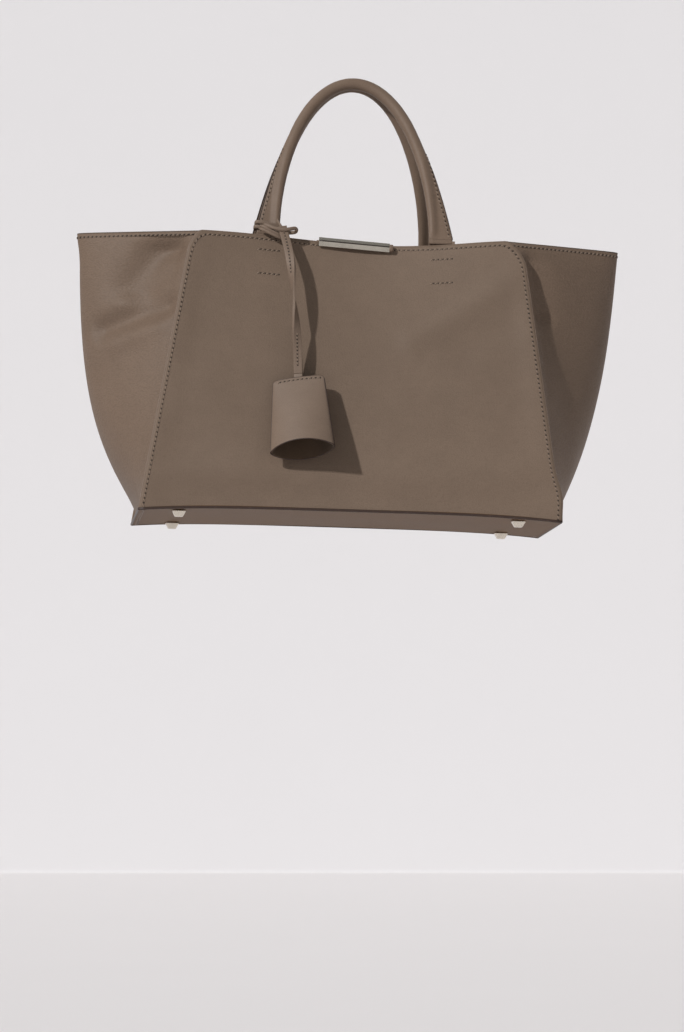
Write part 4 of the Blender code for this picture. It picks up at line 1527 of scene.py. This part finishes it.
@dataclass
class RimBar:
    """The two-facet metal bar on the front rim, its leather seat and its small keepers."""

    shape: BagShape = field(default_factory=BagShape)
    length: float = 0.061
    height: float = 0.008
    edge: float = 0.0012
    ridge: float = 0.003
    drop: float = 0.0007
    tilt: float = math.radians(3.6)
    seat_width: float = 0.058
    seat_drops: tuple = (0.0042, 0.014)
    crown: float = 0.0009
    wall_ply: float = 0.005
    room: float = 0.0003
    stand_off: float = 0.0021
    bevel: float = 0.0003
    line_inset: float = 0.0004
    line_bead: tuple = (0.00055, 0.00018)
    keeper_sizes: tuple = (("right", 0.0300, 0.0037, 0.0033), ("left", -0.0327, 0.0030, 0.0013))
    keeper_middle: tuple = (0.0012, -0.0004)
    keeper_depth: float = 0.75
    seat_ply: float = 0.0012

    def build(self) -> None:
        """Builds the seat, the bar and its keepers."""
        self.seat()
        matrix = self.frame()
        self.bar(matrix)
        self.keepers(matrix)
        LOG.info("rim bar")

    def frame(self) -> Matrix:
        """The bar's own directions: x along it, y outwards and z up."""
        half, end_x = self.height / 2, self.length / 2
        middle_z = self.shape.high - self.shape.sag - self.drop
        x = np.array([-end_x, -end_x])
        z = np.array([middle_z, middle_z - half])
        face, low_face = self.shape.wall_y(x, self.shape.at_height(x, z))
        pitch = math.atan2(low_face - face, half)
        spot = Matrix.Translation((0, -(float(face) + self.stand_off), middle_z))
        turn = Matrix.Rotation(-pitch, 4, "X") @ Matrix.Rotation(self.tilt, 4, "Y")
        return spot @ turn @ Matrix.Diagonal((1, -1, 1, 1))

    def bar(self, matrix: Matrix) -> None:
        """The bar, extruded from its bevelled outline, with a dark bead along its ridge that
        paints the shade line between its facets.
        """
        half, cut = self.height / 2, self.bevel
        outline = np.array([(-half, 0.0), (-half, self.edge - cut), (-half + cut, self.edge),
                            (-cut, self.ridge), (cut, self.ridge), (half - cut, self.edge),
                            (half, self.edge - cut), (half, 0.0)])
        stations = self.length / 2 * np.array([-1, -0.995, 0.995, 1])
        shrink = np.array([0.93, 1, 1, 0.93])
        rings = np.stack([np.broadcast_to(stations[:, None], (4, len(outline))),
                          shrink[:, None] * outline[:, 1], shrink[:, None] * outline[:, 0]], -1)
        faces = grid_faces(4, len(outline), wrap_columns=True, flip=True).tolist()
        low = list(range(len(outline)))
        faces += [low, [k + 3 * len(outline) for k in low[::-1]]]
        bar = add_mesh("rim_bar_metal", moved(matrix, rings), faces, BAR_PLATE,
                       smooth_shade=False)
        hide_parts("front_rim_bar")
        # Dark bead on the ridge: painted shade line where the two facets meet.
        end = self.length / 2 - self.line_inset
        x = np.linspace(-end, end, 20)
        line = np.stack([x, np.full_like(x, self.ridge), np.zeros_like(x)], -1)
        rings = bead_rings(line, np.array([0.0, 1.0, 0.0]), *self.line_bead, sides=8)
        add_tube("rim_bar_painted_shade_line", moved(matrix, rings), HOLE_SHADE, flip=True)

    def keepers(self, matrix: Matrix) -> None:
        """Small rolled leather ends that hold the bar."""
        share = np.linspace(0, 1, 14)
        k = around(20)
        proud, high = self.keeper_middle
        for name, start, reach, radius in self.keeper_sizes:
            x = start + reach * share
            swell = radius * np.sqrt(np.clip(1 - (2 * share - 1) ** 6, 0.02, 1))
            rings = np.stack([np.broadcast_to(x[:, None], (len(x), len(k))),
                              proud + self.keeper_depth * swell[:, None] * np.cos(k),
                              high + swell[:, None] * np.sin(k)], -1)
            add_tube(f"rim_bar_keeper_{name}", moved(matrix, rings), HANDLE_SKIN, flip=True)

    def seat(self) -> None:
        """The strip over the rim: down the face, over a low crown, down inside."""
        half_wall = self.wall_ply / 2 + self.room
        u, v = np.meshgrid(np.linspace(-1, 1, 60), np.linspace(-1, 1, 61))
        x = u * self.seat_width / 2
        rim = self.shape.wall_z(x, np.ones_like(x))
        middle = self.shape.wall_y(x, np.ones_like(x)) - self.wall_ply / 2
        turn = math.pi * v
        over = np.abs(v) <= 0.5
        drop = np.where(v < 0, *self.seat_drops)
        z_side = rim - drop * (np.abs(v) * 2 - 1)
        face = self.shape.wall_y(x, self.shape.at_height(x, z_side)) - self.wall_ply / 2
        y = np.where(over, middle - half_wall * np.sin(turn), face - np.sign(v) * half_wall)
        z = np.where(over, rim + self.crown * np.cos(turn), z_side)
        sheet = add_sheet("front_seat_leather", np.stack([x, -y, z], -1), HANDLE_SKIN,
                          self.seat_ply, offset=1.0)
        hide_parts("front_rim_seat")


@dataclass
class Lanyard:
    """The flat strap knotted round the handle's left leg, and the bell-shaped sleeve on it."""

    handles: Handles = field(default_factory=Handles)
    route: tuple = (
        (-0.0640, -0.0539, 0.2580), (-0.0618, -0.0594, 0.2476), (-0.0592, -0.0649, 0.2371),
        (-0.0569, -0.0695, 0.2268), (-0.0553, -0.0733, 0.2165), (-0.0541, -0.0760, 0.2065),
        (-0.0532, -0.0781, 0.1965), (-0.0523, -0.0796, 0.1866), (-0.0514, -0.0805, 0.1767),
        (-0.0505, -0.0812, 0.1668), (-0.0498, -0.0815, 0.1570), (-0.0490, -0.0815, 0.1472),
        (-0.0483, -0.0812, 0.1374), (-0.0477, -0.0806, 0.1281), (-0.0474, -0.0802, 0.1227))
    width: float = 0.0073
    ply: float = 0.0024
    squareness: float = 1.6
    twist_at: tuple = (0.0, 0.0275, 0.045, 0.060, 0.077, 0.094, 0.106, 0.130, 0.2)
    twist_turns: tuple = (0, 0, 25, 70, 92, 130, 155, 194, 194)
    end_fit: float = 0.0004
    top_hidden: float = 0.0075
    twist_softened: float = 0.008
    bend_at: tuple = (0.026, 0.042)
    strap_rows: tuple = (("upper", 0.004, 0.046, 1), ("lower", 0.098, 0.127, -1))
    tail_turn: float = math.radians(22)
    hinge_above: float = 0.004
    tail_inside: float = 0.010
    bell_length: float = 0.0655
    bell_widths: tuple = (0.0435, 0.0548)
    bell_ply: float = 0.0012
    bell_rises: tuple = (0.0017, 0.0128)
    round_power: float = 0.65
    edge_arch: float = 0.0042
    back_dip: float = 0.003
    corner: float = 0.003
    pitch: float = math.radians(18.5)
    yaw: float = math.radians(14.0)
    lean: float = math.radians(8.0)
    leaf_gap: float = 0.00015
    bell_bead: tuple = (0.0004, 0.0007)
    bell_bead_inset: float = 0.0006
    bell_stitch_inset: float = 0.0030
    bell_stitch_reach: float = 0.86
    turn_heights: tuple = (("lower", 0.0028, 0.0020), ("upper", 0.0066, 0.0019))
    turn_section: tuple = (0.0013, 0.0017)
    turn_squareness: float = 0.55
    turn_room: float = 0.0003
    strand_bead: tuple = (0.0016, 0.0013)
    strand_taper: float = 0.003
    link_size: float = 0.7
    strands: dict = field(default_factory=lambda: {
        "bight": ((-0.0785, -0.0560, 0.2535), (-0.0752, -0.0585, 0.2519),
                  (-0.0714, -0.0603, 0.2503), (-0.0665, -0.0612, 0.2490),
                  (-0.0610, -0.0616, 0.2484), (-0.0560, -0.0608, 0.2493),
                  (-0.0520, -0.0590, 0.2502), (-0.0502, -0.0567, 0.2490),
                  (-0.0514, -0.0549, 0.2475), (-0.0560, -0.0538, 0.2470),
                  (-0.0620, -0.0534, 0.2472), (-0.0680, -0.0542, 0.2470)),
        "crossing": ((-0.0815, -0.0545, 0.2524), (-0.0780, -0.0570, 0.2508),
                     (-0.0738, -0.0580, 0.2488), (-0.0692, -0.0583, 0.2466),
                     (-0.0650, -0.0578, 0.2449), (-0.0606, -0.0562, 0.2435)),
        "second": ((-0.0822, -0.0540, 0.2499), (-0.0784, -0.0564, 0.2485),
                   (-0.0738, -0.0576, 0.2463), (-0.0690, -0.0580, 0.2441),
                   (-0.0648, -0.0576, 0.2424), (-0.0606, -0.0562, 0.2410)),
        "link": ((-0.0668, -0.0516, 0.2587), (-0.0660, -0.0534, 0.2560),
                 (-0.0644, -0.0560, 0.2530), (-0.0626, -0.0576, 0.2500))})

    def build(self) -> None:
        strap, path = self.strap()
        on_it = [self.tail()] + self.bell()
        self.knot()

    def flat_section(self) -> tuple[Array, Array]:
        """The strap's rounded flat section, as distances along its width and its thickness."""
        k = around(20)
        return (np.clip(self.squareness * np.cos(k), -1, 1) * self.width / 2,
                np.clip(self.squareness * np.sin(k), -1, 1) * self.ply / 2)

    def strap(self) -> tuple[bpy.types.Object, Array]:
        """The strap, half a turn twisted.

        Its twist runs through the tabled turns, each softened by a running mean over 16 mm.
        """
        line = curve_through(self.route, 900)
        run = lengths(line)
        at = np.linspace(self.top_hidden, run[-1] - self.end_fit, 150)
        path = resample(line, at)
        along = directions(path)
        normal = unit(np.cross(along, np.array([1.0, 0.0, 0.0])))
        across = np.cross(normal, along)
        near = at[:, None] + np.linspace(-self.twist_softened, self.twist_softened, 17)
        turn = np.interp(near, self.twist_at, self.twist_turns).mean(1)
        turn = np.radians(turn)[:, None]
        wide = across * np.cos(turn) + normal * np.sin(turn)
        thick = normal * np.cos(turn) - across * np.sin(turn)
        side, face = self.flat_section()
        rings = (path[:, None] + wide[:, None] * side[None, :, None]
                 + thick[:, None] * face[None, :, None])
        strap = add_tube("lanyard_strap_leather", rings, STRAP_SKIN, "")
        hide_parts("lanyard_neck", "lanyard_strap")
        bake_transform(strap)
        for word, low, high, sign in self.strap_rows:
            keep = (at - self.top_hidden > low) & (at - self.top_hidden < high)
            row = Stitching(pitch=0.0030, length=0.0022)
            out = thick[keep] * sign
            row.row(path[keep] + out * self.ply / 2, out)
            for piece in row.build(f"lanyard_{word}", ""):
                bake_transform(piece)
        return strap, path

    def bell_axes(self) -> tuple:
        """Origin, across, front and down of the bell."""
        turned = (Matrix.Rotation(-self.lean, 3, "Y") @ Matrix.Rotation(-self.yaw, 3, "Z")
                  @ Matrix.Rotation(-self.pitch, 3, "X"))
        across, front, down = (np.array(turned @ Vector(axis)) for axis in
                               ((1, 0, 0), (0, -1, 0), (0, 0, -1)))
        return np.array(self.route[-1]), across, front, down

    def on_bell(self, wide: Array, proud: Array, down: Array) -> Array:
        """Point at distances across, in front of and below the bell's hinge."""
        origin, across, front, along = self.bell_axes()
        wide, proud, down = np.broadcast_arrays(wide, proud, down)
        return (origin + across * wide[..., None] + front * proud[..., None]
                + along * down[..., None])

    def tail(self) -> bpy.types.Object:
        """The strap's end between the leaves."""
        share = np.linspace(0, 1, 24)
        length = self.hinge_above + self.tail_inside
        side, face = self.flat_section()
        turn = mix(self.tail_turn, math.pi / 2, np.clip(share * 2, 0, 1))
        down = np.where(share < 0.5, -self.ply / 2 * np.cos(turn), length * (share * 2 - 1))
        rings = self.on_bell(side[None, :], face[None, :] * np.sin(turn)[:, None], down[:, None])
        tail = add_tube("lanyard_tail_leather", rings, STRAP_SKIN, "clochette")
        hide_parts("lanyard_tail")
        return tail

    def leaf_point(self, side: int, u: Array, share: Array, proud: float = 0.0) -> Array:
        """Point of one leaf's outer face.

        Args:
            side: 1 for the front leaf and -1 for the back one.
            u: Share across.
            share: Share down.
            proud: Height over the face.

        Returns:
            Points.
        """
        u, share = np.broadcast_arrays(np.asarray(u, float), np.asarray(share, float))
        edge = self.edge_arch * (u * u - 1) if side > 0 else self.back_dip * (1 - u * u)
        down = share * (self.bell_length + edge)
        corner = self.corner * np.clip(1 - down / self.corner, 0, None) ** 2
        half = mix(*self.bell_widths, share) / 2 - corner
        bow = mix(*self.bell_rises, share) * (1 - u * u) ** self.round_power
        lift = self.leaf_gap + bow + self.bell_ply + proud
        return self.on_bell(side * u * half, side * lift, self.hinge_above + down)

    def bell(self) -> list:
        """The two leaves, their painted edges and the row of stitches at their top."""
        made = []
        front = self.bell_axes()[2]
        u, share = np.meshgrid(np.linspace(-1, 1, 90), np.linspace(0, 1, 90))
        for side, word in ((1, "front"), (-1, "back")):
            points = self.leaf_point(side, u, share)
            # The inner faces wear the darkened suede: painted shade inside the bell.
            leaf = add_sheet(f"bell_{word}_leather", points, STRAP_SKIN, self.bell_ply,
                             "clochette", flip=True, inner=BELL_INSIDE_SHADE)
            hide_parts(f"clochette_{word}")
            made.append(leaf)
            rim = np.linspace(0, 1, 60)
            ones = np.ones_like(rim)
            line = np.concatenate([
                self.leaf_point(side, -ones, rim[::-1])[:-1],
                self.leaf_point(side, 2 * rim - 1, 0 * rim)[:-1],
                self.leaf_point(side, ones, rim)[:-1],
                self.leaf_point(side, 1 - 2 * rim, ones)[:-1]])
            line = line - front * side * self.bell_bead_inset
            made.append(add_bead(f"bell_{word}_edge_paint", line, front * side, self.bell_bead,
                                 PAINT, "clochette", closed=True))
            row = Stitching(pitch=0.0037, length=0.0028)
            across = np.linspace(-self.bell_stitch_reach, self.bell_stitch_reach, 60)
            drop = self.bell_stitch_inset / self.bell_length
            top = self.leaf_point(side, across, np.full_like(across, drop))
            row.row(top, front * side)
            made += row.build(f"bell_{word}", "clochette")
        return made

    def knot(self) -> None:
        """The split end: two turns round the leg, three strands over its front and one inside."""
        for word, height, slope in self.turn_heights:
            self.turn_round_leg(word, height, slope)
        half_wide, half_high = self.strand_bead
        for name, points in self.strands.items():
            size = self.link_size if name == "link" else 1.0
            line = curve_through(points, 90)
            along, run = directions(line), lengths(line)
            out = unit(np.cross(along, np.array([0.0, 0.0, 1.0])) + np.array([0.0, -0.4, 0.0]))
            taper = np.clip(np.minimum(run, run[-1] - run) / self.strand_taper, 0.25, 1) ** 0.5
            rings = bead_rings(line, out, half_wide * size * taper, half_high * size * taper, 18)
            add_tube(f"lanyard_{name}_strand", rings, STRAP_SKIN, "lanyard_neck")

    def turn_round_leg(self, word: str, height: float, slope: float) -> None:
        """One turn round the handle's left leg: a rounded rectangle swept by a flat section.

        Args:
            word: Lower or upper.
            height: Height of its middle over the handle's foot.
            slope: Rise of its left end over that.
        """
        hand = self.handles
        thick, high = self.turn_section
        count, sides = 72, 14
        turn = math.pi - math.asin(height / hand.rise)
        radius = float(hand.tube_radius(np.array(turn)))
        spread = float(hand.tab_reach(np.array(height)))
        room = thick + self.turn_room
        half = radius + spread / 2 + room
        proud = mix(hand.tab_ply / 2, radius, smooth(height / hand.tube_end)) + room
        k = around(count)
        cos, sin = np.cos(k), np.sin(k)
        wide = np.sign(cos) * np.abs(cos) ** self.turn_squareness
        deep = np.sign(sin) * np.abs(sin) ** self.turn_squareness
        round_it = around(sides)
        grow = thick * np.clip(1.3 * np.cos(round_it), -1, 1)[None, :]
        rings = hand.place(Wall.FRONT, np.full((count, sides), turn),
                           spread / 2 + (half + grow) * wide[:, None],
                           (proud + grow) * deep[:, None])
        rings[..., 2] += high * np.sin(round_it)[None, :] + slope * wide[:, None]
        loop = add_tube(f"lanyard_{word}_turn", rings, STRAP_SKIN, "front_handle", closed=True,
                        flip=True)
        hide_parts(f"lanyard_loop_{word}")


def dress_hidden() -> None:
    """Gives each CAD solid that stays its procedural finish."""
    finishes = {"_stiffener": FIBREBOARD, "_core": ROPE, "_magnet": STEEL, "washer_": STEEL,
                "base_board": FIBREBOARD, "_tab_": HANDLE_SKIN}
    for name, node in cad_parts.items():
        for key, finish in finishes.items():
            if key in name:
                node.data.materials.clear()
                node.data.materials.append(finish_of(finish))


def main() -> None:
    """Builds everything in order, the camera and the cord first."""
    Studio().build()
    Lanyard().build()
    for part in (Handles(), RimBar(), Walls(), Wings(), Base()):
        part.build()
    dress_hidden()


if __name__ == "__main__":
    main()
